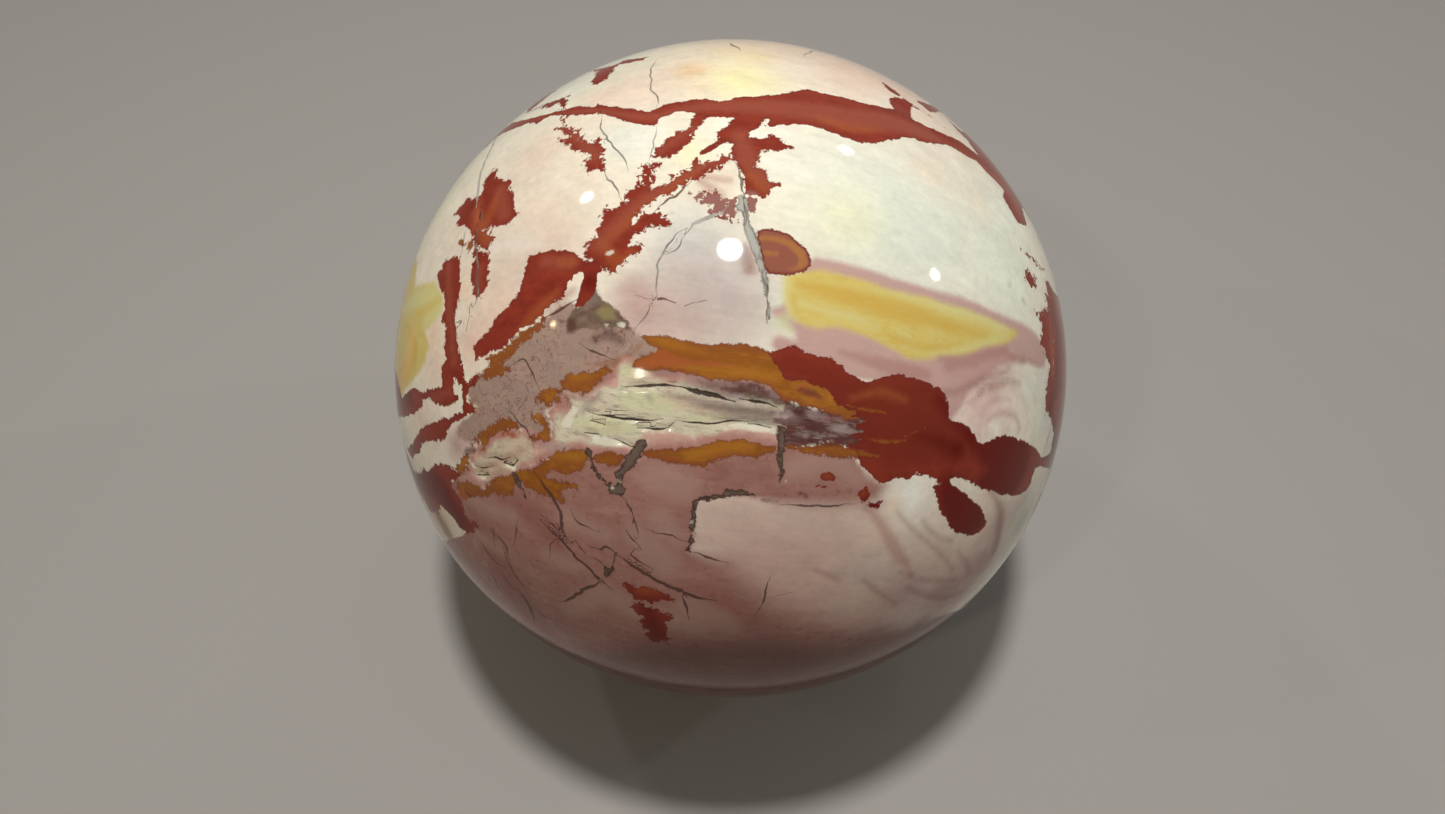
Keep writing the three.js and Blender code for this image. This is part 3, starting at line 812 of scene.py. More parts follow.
# The side that the photograph doesn't show. Lines there hold longitude and latitude in degrees and half width
# in millimetres. The red vein goes on along the circle that the upper band lies on, and the lens along its
# own.
BACK_LINES = {
    "red": [
        [(158, 42, 0.7), (148, 12, 1.7), (141, -2, 2.8), (133, -14, 5), (120, -25, 5.8), (97, -35, 1)],
        [(142, 0, 2), (130, 3, 1.2), (120, 1, 0.4)], [(133, -16, 3), (144, -24, 2), (150, -34, 0.8)],
        [(67, -32, 1), (56, -30, 4.6), (42, -21, 5.4), (30, -9, 3.8), (21, 6, 2.4), (15, 19, 2.2),
         (12, 30, 2.4)],
        [(120, -24, 3), (117, -13, 1.6), (121, -4, 2), (116, 5, 1.1), (112, 13, 1.6), (114, 21, 0.5)],
        [(133, -14, 2.4), (128, -4, 1.2), (131, 5, 1.4), (127, 12, 0.5)],
        [(56, -29, 3.6), (60, -18, 2.2), (66, -9, 1.1), (63, 0, 2), (70, 8, 0.7)],
        [(42, -20, 3), (38, -8, 1.5), (43, 2, 1.8), (40, 10, 0.6)],
        [(103, 3, 0.6), (100, 1, 1.4), (101, -3, 0.5)], [(77, 18, 0.4), (76, 15, 1), (73, 13, 0.4)],
        [(148, 12, 1.6), (139, 15, 0.9), (132, 20, 1.5), (128, 27, 0.5)],
        [(-160, 16, 1.6), (-170, 11, 2.7), (-178, 4, 1.9), (-188, -5, 2.3), (-197, -10, 0.8)],
        [(-154, 5, 3.2), (-163, -5, 3.9), (-183, -20, 1.2), (-190, -30, 0.6)],
        [(-152, 2, 2.4), (-150, -18, 1.9), (-147, -36, 1.3), (-132, -51, 2.3), (-106, -61, 0.9)],
        [(-9, 29, 1), (-7, 20, 2.6), (-11, 10, 3.4), (-24, 0, 4)],
        [(-24, 2, 4), (-27, -8, 4.8), (-36, -33, 2.6), (-45, -46, 3.3), (-62, -56, 1)],
        [(-13, 8, 2.4), (-2, 0, 1.6), (6, -10, 1), (15, -16, 1.8), (22, -24, 0.6)],
        [(-27, -10, 3), (-16, -14, 1.8), (-9, -22, 0.6)], [(-80, -42, 1.7), (-84, -45, 0.9)],
        [(150, -52, 2.6), (165, -60, 1.4)],
        [(91, -6, 0.4), (86, -13, 1), (88, -20, 0.5), (82, -26, 1.4), (79, -31, 0.6)],
        [(70, 30, 0.3), (66, 24, 0.9), (69, 19, 0.4)],
    ],
    "rust": [
        [(134, -12, 1), (124, -21, 2), (112, -28, 1.4)], [(57, -27, 1.2), (46, -24, 2.2), (36, -14, 1.4)],
        [(-5, 18, 1), (-6, 8, 2), (-12, 0, 1.2)], [(-162, 14, 0.6), (-172, 8, 1.2), (-182, 0, 0.6)],
        [(-156, 0, 1), (-166, -8, 1.6), (-176, -15, 0.8)], [(62, -10, 0.5), (64, 0, 0.9), (67, 5, 0.5)],
    ],
    "pale red": [
        [(154, 29, 0.6), (147, 9, 1.2), (138, -6, 1.6), (126, -19, 2.2), (110, -29, 1.6)],
        [(60, -33, 1.2), (48, -27, 2.2), (37, -17, 2.4), (26, -3, 1.4)],
        [(-8, 24, 1.2), (-3, 14, 2), (-8, 4, 2.2), (-18, -1, 1.4)], [(-29, -12, 2), (-33, -24, 1.4)],
    ],
    "deep red": [
        [(-24, -6, 1.4), (-27, -16, 1.6), (-34, -28, 1), (-42, -42, 1.2)],
        [(-151, -12, 0.8), (-148, -30, 0.8), (-134, -49, 1.4), (-112, -60, 0.6)],
        [(126, -24, 1.2), (114, -31, 1.4), (104, -33, 0.8)], [(52, -32, 1.4), (38, -22, 1.6)],
    ],
    "orange": [
        [(-24, -2, 0.1), (-29, -13, 0.25), (-31, -22, 0.15)],
        [(50, -30, 0.1), (42, -24, 0.25), (34, -16, 0.15)],
        [(128, -15, 0.1), (120, -22, 0.25), (112, -27, 0.1)], [(-156, -4, 0.1), (-174, -14, 0.1)],
    ],
    "bark": [
        [(94, -37, 0.5), (86, -36.5, 1.8), (77, -35, 2), (69, -32.5, 0.5)],
    ],
    "pink": [
        [(97, -37, 1), (84, -36.5, 3.4), (74, -34.5, 3.2), (66, -31, 1)],
    ],
    "ochre": [
        [(-31, 4, 1), (-34, -10, 2), (-38, -24, 2.6), (-45, -38, 1.4), (-58, -49, 2), (-72, -56, 0.7)],
        [(-18, -8, 0.8), (-17, -20, 1.6), (-20, -34, 0.8)],
        [(-147, -8, 0.8), (-143, -24, 1.6), (-137, -40, 2.2), (-118, -54, 1)],
        [(100, -38, 0.8), (90, -41.5, 1.8), (78, -41, 2), (66, -36, 1)],
        [(99, -33, 0.6), (88, -31.5, 1.3), (77, -29, 1.5), (68, -27, 0.7)],
        [(-165, 3, 0.9), (-172, -1, 1.4), (-182, -6, 0.7)],
    ],
    "yellow": [
        [(44, 40, 3), (58, 43, 5.6), (74, 41, 7.6), (104, 29, 4.6), (111, 25, 2)],
        [(-166, 22, 6.5), (-176, 20, 8), (-196, 8, 2.6)], [(60, -50, 3), (75, -56, 4.5), (95, -58, 3)],
    ],
    "rim": [
        [(38, 39, 4), (58, 42, 8.6), (74, 39, 10.8), (108, 25, 7.6), (118, 18, 3)],
        [(52, -48, 5), (75, -55, 8), (100, -58, 6)],
    ],
    "eye": [
        [(86, 9, 3.4), (92, 11, 3)], [(4, 13, 1.8), (7, 11, 1.2)],
    ],
    "ring": [
        [(84, 11, 0.4), (89, 13, 0.5), (94, 11.5, 0.4)], [(86, 8.5, 0.4), (90, 9, 0.5)],
        [(4, 13, 0.5), (6, 12, 0.4)],
    ],
    "mauve": [
        [(-90, -40, 26), (-60, -52, 22), (-130, -52, 22)], [(-35, -30, 9), (-10, -40, 12), (30, -52, 10)],
        [(-155, -25, 10), (-175, -38, 11), (-200, -46, 8)], [(20, -75, 16), (140, -75, 14)],
        [(10, -44, 12), (40, -50, 14), (110, -54, 16), (190, -42, 12)],
        [(84, -16, 1.5), (94, -20, 6), (106, -17, 3)],
    ],
    "slate": [
        [(92, -35, 0.3), (84, -34.5, 0.7), (74, -32.5, 0.3)], [(100, 6, 0.4), (96, -2, 1), (99, -10, 0.4)],
        [(36, 24, 0.5), (40, 12, 1.2), (34, 2, 0.6)],
    ],
    "mustard": [
        [(52, 42, 0.8), (70, 43, 1.4), (90, 37, 1.2), (104, 30, 0.5)],
        [(62, 38, 0.6), (78, 36, 1.2), (94, 31, 0.8)], [(-172, 22, 0.8), (-182, 18, 1.2), (-192, 12, 0.5)],
    ],
    "rose": [
        [(30, 20, 0.6), (44, 16, 1.3), (58, 18, 1), (72, 13, 0.5)],
        [(28, 26, 0.5), (44, 23, 1), (60, 25, 0.6)],
        [(110, 44, 0.6), (124, 38, 1.4), (138, 36, 1), (150, 30, 0.5)],
        [(-50, -20, 0.6), (-66, -28, 1.6), (-86, -30, 1)],
    ],
    "brown": [
        [(-60, -34, 0.8), (-80, -38, 2), (-104, -36, 1.4)], [(30, -34, 0.6), (46, -40, 1.6)],
    ],
}

# Thin cracks on the unseen side: width in millimetres, how red-brown they are, and the line in degrees.
BACK_CRACKS = [
    (0.75, 0.2, [(98, 47), (101, 39), (98, 28), (103, 16), (100, 4), (104, -8), (101, -22), (97, -31)]),
    (0.70, 0.4, [(-102, -30), (-98, -42), (-88, -52)]),
    (0.60, 0.4, [(62, -46), (70, -52), (68, -60), (76, -68)]),
    (0.50, 0.5, [(118, -40), (124, -50), (120, -58)]),
    (0.45, 0.5, [(-168, -26), (-160, -36), (-164, -46)]),
    (0.32, 0.2, [(60, 66), (63, 58), (58, 49), (62, 40), (57, 30), (60, 20)]),
    (0.26, 0.3, [(62, 40), (70, 34), (76, 24), (82, 18)]),
    (0.24, 0.3, [(106, 23), (110, 12), (117, 8)]),
    (0.30, 0.3, [(140, 46), (136, 38), (140, 30), (136, 22)]),
    (0.24, 0.5, [(136, 38), (128, 36), (122, 30)]),
    (0.22, 0.2, [(24, 40), (30, 33), (28, 24), (34, 14)]),
    (0.34, 0.4, [(-112, -20), (-106, -28), (-110, -38), (-104, -48)]),
    (0.30, 0.4, [(-106, -28), (-96, -30), (-90, -38)]),
    (0.30, 0.4, [(-70, -18), (-66, -28), (-72, -38), (-66, -46)]),
    (0.28, 0.4, [(-12, -16), (-6, -26), (-10, -36)]),
    (0.28, 0.4, [(80, -46), (86, -54), (80, -62), (90, -70)]),
    (0.30, 0.4, [(140, -22), (146, -32), (142, -42), (150, -50)]),
    (0.26, 0.4, [(170, 36), (174, 28), (170, 18), (176, 8)]),
]

# Washes on the unseen side: longitude, latitude and radius in degrees, colour, and strength.
BACK_WASHES = [
    (90, 60, 20, "peach", 0.6), (130, 50, 16, "mint", 0.7), (40, 55, 18, "blush", 0.5),
    (120, 20, 16, "mint", 0.4), (80, 8, 18, "cream", 0.5), (50, 12, 16, "dusk", 0.55),
    (30, 30, 12, "mauve", 0.45), (92, -14, 14, "petal", 0.75), (145, 25, 12, "blush", 0.6),
    (165, 30, 12, "butter", 0.4), (175, 0, 14, "pink", 0.5), (155, -12, 12, "cool", 0.7),
    (0, 0, 16, "mauve", 0.45), (15, -30, 18, "pink", 0.7), (75, -48, 24, "mauve", 0.55),
    (130, -50, 22, "mauve", 0.5), (-20, 20, 12, "lilac", 0.4), (110, 5, 10, "cool", 0.6),
    (80, -4, 10, "dusk", 0.5), (72, 26, 9, "milk", 0.6), (120, 36, 10, "apricot", 0.4),
    (152, 4, 8, "dusk", 0.6), (-175, -25, 18, "mauve", 0.6), (-120, -30, 18, "lilac", 0.3),
    (-60, -30, 18, "pink", 0.3),
]

# Each layer that has outlines, by the name of its attribute.
OUTLINED = {
    "red": RED,
    "ochre": OCHRE,
    "ochre streak": OCHRE_STREAKS,
    "yellow": YELLOW,
    "rim": RIM,
    "eye": EYE,
    "mauve": MAUVE,
    "dark vein": DARK_VEINS,
    "grey vein": GREY,
    "breccia": BRECCIA,
    "bark": BARK,
    "pink": PINK,
    "mixing": MIXING,
    "wedge": WEDGE,
}

HALF_WIDTH = 50.5  # millimetres, of the spheroid's equator
FLAT_RADIUS = 10.0  # millimetres, of the resting flat
CENTRE_HEIGHT = HALF_WIDTH * HEIGHT_TO_WIDTH * math.sqrt(1 - (FLAT_RADIUS / HALF_WIDTH) ** 2)
MEAN_RADIUS = 49.4  # millimetres, for measuring along the surface
PIXELS_PER_MM = 6.6  # at the middle of the stone in the photograph
FRONT = (705, 400)  # pixels, the place where the mesh is finest
FINENESS = 2.0  # how much finer the mesh is there than an even one
CELLS = 128  # along each edge of the cube that the mesh starts from
REACH = 4.0  # millimetres, the farthest that a layer's distances count
EDGE_STEP = 0.5  # millimetres between the points of a drawn edge
OUTLINE_STEP = 3  # pixels between the points of an outline before it is laid on the stone
STREAK_STEP = 4  # pixels between the points of a streak
BACK_STEP = 3  # degrees between the points of a line on the unseen side
CURVE_STEPS = 4  # pieces between two points of a rounded line
KNOT_SPACINGS = (1.8, 0.9, 0.5)  # millimetres between the random knots of a ragged edge
MEETING_ROUNDS = 3  # of working out where a ray meets the swelled stone
HALVINGS = 24  # of the way to a place outside the stone, to find the stone's outline
FLAT_LIMIT = -0.5  # cosine of the widest angle at which an outline is laid flat
ASIDE = (0.3, 0.5, 0.8)  # a direction that no marking's middle has, to find two square to that middle
BLOCK = 2_000_000  # pairs of a vertex and a segment that are worked out at a time
LATTICE = 32  # random numbers along each edge of the noise's cube
SWIRL_MIDDLE = (1006, 432)  # pixels
SOFT_MIDDLE = (830, 625)  # pixels, where the mauve ground's edge is softest
SOFT_HEART = 12.0  # millimetres from there to where the edge begins to grow crisp
SOFT_REACH = 25.0  # millimetres from there to where it is crisp
CRISP = 0.12  # millimetres, half the width over which the crisp part of that edge fades
SOFT_BELOW = 3.0  # millimetres more where it is softest
SOFT_BEHIND = 0.9  # millimetres more on the unseen side
BEHIND = (0.25, -0.05)  # cosines of the angles from the view between which the unseen side's look sets in
BEHIND_EDGE = (0.3, 0.1)  # the same for that softness of the mauve ground's edge

# How ragged edges are. The random knots of an edge are moved by as many millimetres for each root of their
# spacing.
CRACK_RAGGED = 0.13
FISSURE_RAGGED = 0.07
BACK_RAGGED = 0.16  # of the outlines and the cracks on the unseen side
BACK_LINE_RAGGED = 0.12  # of the lines that make those outlines
BACK_SMOOTH = 0.05  # of the soft-edged layers there
SOFT_EDGED = ("yellow", "rim", "mauve")
BACK_NOISE = [(5.0, 0.9), (2.2, 0.6), (1.0, 0.3)]  # cell and height in millimetres of what breaks them up
TAPER_LENGTH = 2.0  # millimetres from a crack's tip to its full width
TIP_SHARE = 0.25  # of its width that a crack keeps at its tip

GRAIN_DEPTH = 0.005  # millimetres, of the bark's weathered grain
GRAIN_CELL = 0.7  # millimetres
GRAIN_FADE = (0.1, 0.9)  # millimetres inside the bark between which the grain sets in
GRAIN_SQUEEZE = (0.4, 1, 1)  # draws the grain out along X
FISSURE_DEPTH = 0.06  # of a fissure in millimetres for each pixel of its width
FISSURE_SPREAD = 0.30  # millimetres from a fissure's line to where its cut has sunk to 1/e

# How the material's patterns lie, and the polish.
TILT = math.radians(CAMERA_HEIGHT_ANGLE - 90)
BEDDING_TURN = (TILT, 0, math.radians(6))  # lays the streaks along X
FLOW_TURN = (TILT, 0, math.radians(17))  # lays the ground's veils along X
SPIKE_HEIGHT = 5.5  # millimetres that the noise moves an edge for each unit of its raggedness
BUMP_HEIGHT = 0.04  # millimetres, of the bark's finest grain
BUMP_STRENGTH = 0.08
BARK_DULLNESS = 0.015  # roughness that the bark adds to the polish
FISSURE_DULLNESS = 0.3  # roughness that a deep fissure adds
REFRACTION = 1.54  # index of jasper
GLOSS = 0.12  # strength of the polish's reflections

# The two round charts of the map that the finish bakes to, as shares of its side.
FRONT_CHART_ANGLE = math.radians(105)  # how far from the front place the large chart reaches
FRONT_CHART_RADIUS = 0.372
BACK_CHART_RADIUS = 0.197
CHART_MARGIN = 0.012

# The studio.
FLOOR_ROUGHNESS = 0.7
SKY_COLOUR = (0.94, 1.0, 0.97, 1)
CLIP_START = 0.01  # metres
SPARK_DISTANCE = 1.2  # metres from the stone to a small lamp
SOFT_LIGHT = (0.72, 0.50, 0.48)  # the direction that the sky is brightest in
FRONT_LIGHT = (0.25, -0.90, 0.35)  # the direction of its second brightest place
LEFT_LIGHT = (-0.85, -0.25, 0.45)  # the direction of its third brightest place

# Small lamps whose reflections show on the stone: the reflection's place in pixels, the lamp's diameter in
# metres, its power in watts, and its colour.
SPARKS = [
    ((587, 197), 0.070, 0.80, (1.0, 0.98, 0.95)),
    ((935, 275), 0.065, 0.80, (1.0, 0.98, 0.95)),
    ((846, 150), 0.080, 0.30, (1.0, 0.95, 0.88)),
    ((553, 324), 0.036, 0.45, (1.0, 0.66, 0.36)),
    ((640, 374), 0.056, 1.2, (1.0, 0.88, 0.72)),
]


def unit(vectors):
    """Vectors scaled to a length of one."""
    return vectors / np.linalg.norm(vectors, axis=-1, keepdims=True)


def from_angles(angles):
    """Directions from the stone's middle at longitudes and latitudes in degrees."""
    turn, lift = np.radians(np.asarray(angles, float)[..., :2].T)
    return np.stack([np.cos(lift) * np.cos(turn), np.cos(lift) * np.sin(turn), np.sin(lift)], axis=-1)


def smooth_step(value, low, high):
    """Zero below low, one above high, and a smooth S between them."""
    part = np.clip((value - low) / (high - low), 0, 1)
    return part * part * (3 - 2 * part)


def spheroid_radius(directions):
    """Distance from the middle to the spheroid: one over the root of the sum of the squares of x, y and z,
    each divided by its half axis."""
    level = (directions[:, 0] ** 2 + directions[:, 1] ** 2) / HALF_WIDTH**2
    return 1 / np.sqrt(level + (directions[:, 2] / (HALF_WIDTH * HEIGHT_TO_WIDTH)) ** 2)


def stone_radius(directions):
    """Distance from the middle to the stone's surface. Each swell adds its height times a bell curve of the
    angle from it, the swells fade towards the resting flat, and the flat cuts the rest off."""
    radius = spheroid_radius(directions)
    proud = np.zeros(len(directions))
    for longitude, latitude, height in SWELLS:
        angle = np.degrees(np.arccos(np.clip(directions @ from_angles((longitude, latitude)), -1, 1)))
        proud += height * np.exp(-((angle / SWELL_SPREAD) ** 2))
    radius = radius + proud * smooth_step(CENTRE_HEIGHT + radius * directions[:, 2], 0, SWELL_FADE_HEIGHT)
    down = np.minimum(directions[:, 2], -1e-6)
    return np.minimum(radius, CENTRE_HEIGHT / -down)


def view_axes():
    """The camera's axes as columns, right, up and backwards, with the stone's middle where the photograph has
    it, and the direction from the stone to the camera."""
    lift = math.radians(CAMERA_HEIGHT_ANGLE)
    back = Vector((0, -math.cos(lift), math.sin(lift)))
    right = Vector((1, 0, 0))
    level = Matrix((right, back.cross(right), back)).transposed()
    shown = Vector((STONE_IN_IMAGE[0] - IMAGE_WIDTH / 2, IMAGE_HEIGHT / 2 - STONE_IN_IMAGE[1],
                    -PIXELS_PER_TANGENT))
    return level @ shown.rotation_difference(Vector((0, 0, -1))).to_matrix(), back


VIEW, BACKWARDS = view_axes()


def meet(pixels):
    """Where rays through pixels meet the stone: directions from its middle, and which rays meet it at all. A
    ray meets the spheroid at the first root of a quadratic, and two more rounds let the swells in."""
    rays = np.stack([pixels[:, 0] - IMAGE_WIDTH / 2, IMAGE_HEIGHT / 2 - pixels[:, 1],
                     np.full(len(pixels), -PIXELS_PER_TANGENT)], axis=1) @ np.array(VIEW).T
    squash = np.array([1, 1, 1 / HEIGHT_TO_WIDTH])
    eye = np.array(BACKWARDS) * CAMERA_DISTANCE * HALF_WIDTH
    size = np.full(len(pixels), HALF_WIDTH)
    for _ in range(MEETING_ROUNDS):
        square = ((rays * squash) ** 2).sum(1)
        half = (rays * squash) @ (eye * squash)
        inside = half**2 - square * (((eye * squash) ** 2).sum() - size**2)
        distance = (-half - np.sqrt(np.maximum(inside, 0))) / square
        directions = unit(eye + distance[:, None] * rays)
        size = HALF_WIDTH * stone_radius(directions) / spheroid_radius(directions)
    return directions, inside > 0


def from_photo(pixels):
    """Directions from the stone's middle at places in the photograph. A place outside the stone's outline
    lies behind it, as many degrees past the outline as its distance in pixels says."""
    pixels = np.asarray(pixels, float)[:, :2]
    middle = np.array(STONE_IN_IMAGE)
    low, high = np.zeros(len(pixels)), np.ones(len(pixels))
    _, seen = meet(pixels)
    for _ in range(HALVINGS):
        share = (low + high) / 2
        _, hit = meet(middle + (pixels - middle) * share[:, None])
        low, high = np.where(hit, share, low), np.where(hit, high, share)
    share = np.where(seen, 1, low)
    directions, _ = meet(middle + (pixels - middle) * share[:, None])
    over = np.radians(np.linalg.norm(pixels - middle, axis=1) * (1 - share) / PIXELS_PER_DEGREE)
    back = np.array(BACKWARDS)
    facing = directions @ back
    aside = unit(directions - facing[:, None] * back)
    angle = np.arccos(np.clip(facing, -1, 1)) + over
    return back * np.cos(angle)[:, None] + aside * np.sin(angle)[:, None]


def walk(points, step, closed=False):
    """Points on the straight lines that join the given ones, no further apart than a step."""
    points = np.asarray(points, float)
    starts = points if closed else points[:-1]
    ends = np.roll(points, -1, axis=0) if closed else points[1:]
    lengths = np.linalg.norm((ends - starts)[:, :3], axis=1)
    counts = np.maximum(1, np.ceil(lengths / step)).astype(int)
    which = np.repeat(np.arange(len(starts)), counts)
    place = np.arange(counts.sum()) - np.repeat(np.cumsum(counts) - counts, counts)
    walked = starts[which] + (ends - starts)[which] * (place / counts[which])[:, None]
    return walked if closed else np.vstack([walked, points[-1:]])


def rounded(line):
    """Points on a smooth curve through the given ones: between each two a cubic that leaves and arrives in
    the direction from the point before to the point after, with a slope of half the way between those."""
    line = np.asarray(line, float)
    if len(line) < 3:
        return line
    slopes = np.gradient(line, axis=0)
    share = np.arange(CURVE_STEPS)[:, None, None] / CURVE_STEPS
    near, far = (1 + 2 * share) * (1 - share) ** 2, share**2 * (3 - 2 * share)
    leaving, arriving = share * (1 - share) ** 2, share**2 * (share - 1)
    curve = near * line[:-1] + far * line[1:] + leaving * slopes[:-1] + arriving * slopes[1:]
    return np.vstack([curve.transpose(1, 0, 2).reshape(-1, line.shape[1]), line[-1:]])


def wander(line, ragged, closed, seed):
    """A line on the sphere moved sideways by random amounts at knots of three spacings, the far apart ones
    most, so that no stretch of an edge is straight."""
    draw = np.random.default_rng(seed)
    before = np.roll(line, 1, axis=0)
    after = np.roll(line, -1, axis=0)
    if not closed:
        before[0], after[-1] = line[0], line[-1]
    along = np.append(0, np.cumsum(np.linalg.norm(np.diff(line, axis=0), axis=1)))
    sideways = unit(np.cross(line, after - before) + 1e-9)
    amount = np.zeros(len(line))
    for spacing in KNOT_SPACINGS:
        knots = np.arange(0, along[-1] + 2 * spacing, spacing)
        push = draw.uniform(-1, 1, len(knots))
        if closed:
            push[-2:] = push[:2]
            knots = knots * (along[-1] / knots[-2])
        amount += np.sqrt(spacing) * np.interp(along, knots, push)
    return unit(line + sideways * (ragged * amount)[:, None]) * MEAN_RADIUS


def nearest(points, starts, ends):
    """The distance from each point to the nearest segment, which segment that is, and how far along it."""
    along = ends - starts
    square = np.maximum((along**2).sum(1), 1e-12)
    distance = np.empty(len(points))
    which = np.empty(len(points), int)
    share = np.empty(len(points))
    rows = max(1, BLOCK // len(starts))
    for first in range(0, len(points), rows):
        block = slice(first, first + rows)
        offset = points[block] @ along.T - (starts * along).sum(1)
        part = np.clip(offset / square, 0, 1)
        apart = (points[block] ** 2).sum(1)[:, None] - 2 * points[block] @ starts.T + (starts**2).sum(1)
        gap = apart - 2 * part * offset + part**2 * square
        which[block] = gap.argmin(1)
        row = np.arange(len(gap))
        distance[block] = np.sqrt(np.maximum(gap[row, which[block]], 0))
        share[block] = part[row, which[block]]
    return distance, which, share


def inside_outline(points, starts, ends):
    """True where a line straight up from a point of the plane crosses the outline an odd number of times."""
    slope = (ends[:, 1] - starts[:, 1]) / np.where(ends[:, 0] == starts[:, 0], 1, ends[:, 0] - starts[:, 0])
    result = np.empty(len(points), bool)
    rows = max(1, BLOCK // len(starts))
    for first in range(0, len(points), rows):
        x, y = points[first:first + rows].T[:, :, None]
        spans = (starts[:, 0] > x) != (ends[:, 0] > x)
        above = starts[:, 1] + (x - starts[:, 0]) * slope > y
        result[first:first + rows] = (spans & above).sum(1) % 2 == 1
    return result


def value_noise(points, cell, seed):
    """Smooth noise from -1 to 1: random numbers at the corners of cubes, blended between them."""
    lattice = np.random.default_rng(seed).uniform(-1, 1, (LATTICE,) * 3)
    base = np.floor(points / cell).astype(int)
    part = smooth_step(points / cell - base, 0, 1)
    total = np.zeros(len(points))
    for corner in itertools.product((0, 1), repeat=3):
        weight = np.prod(np.where(corner, part, 1 - part), axis=1)
        x, y, z = ((base + corner) % LATTICE).T
        total += weight * lattice[x, y, z]
    return total


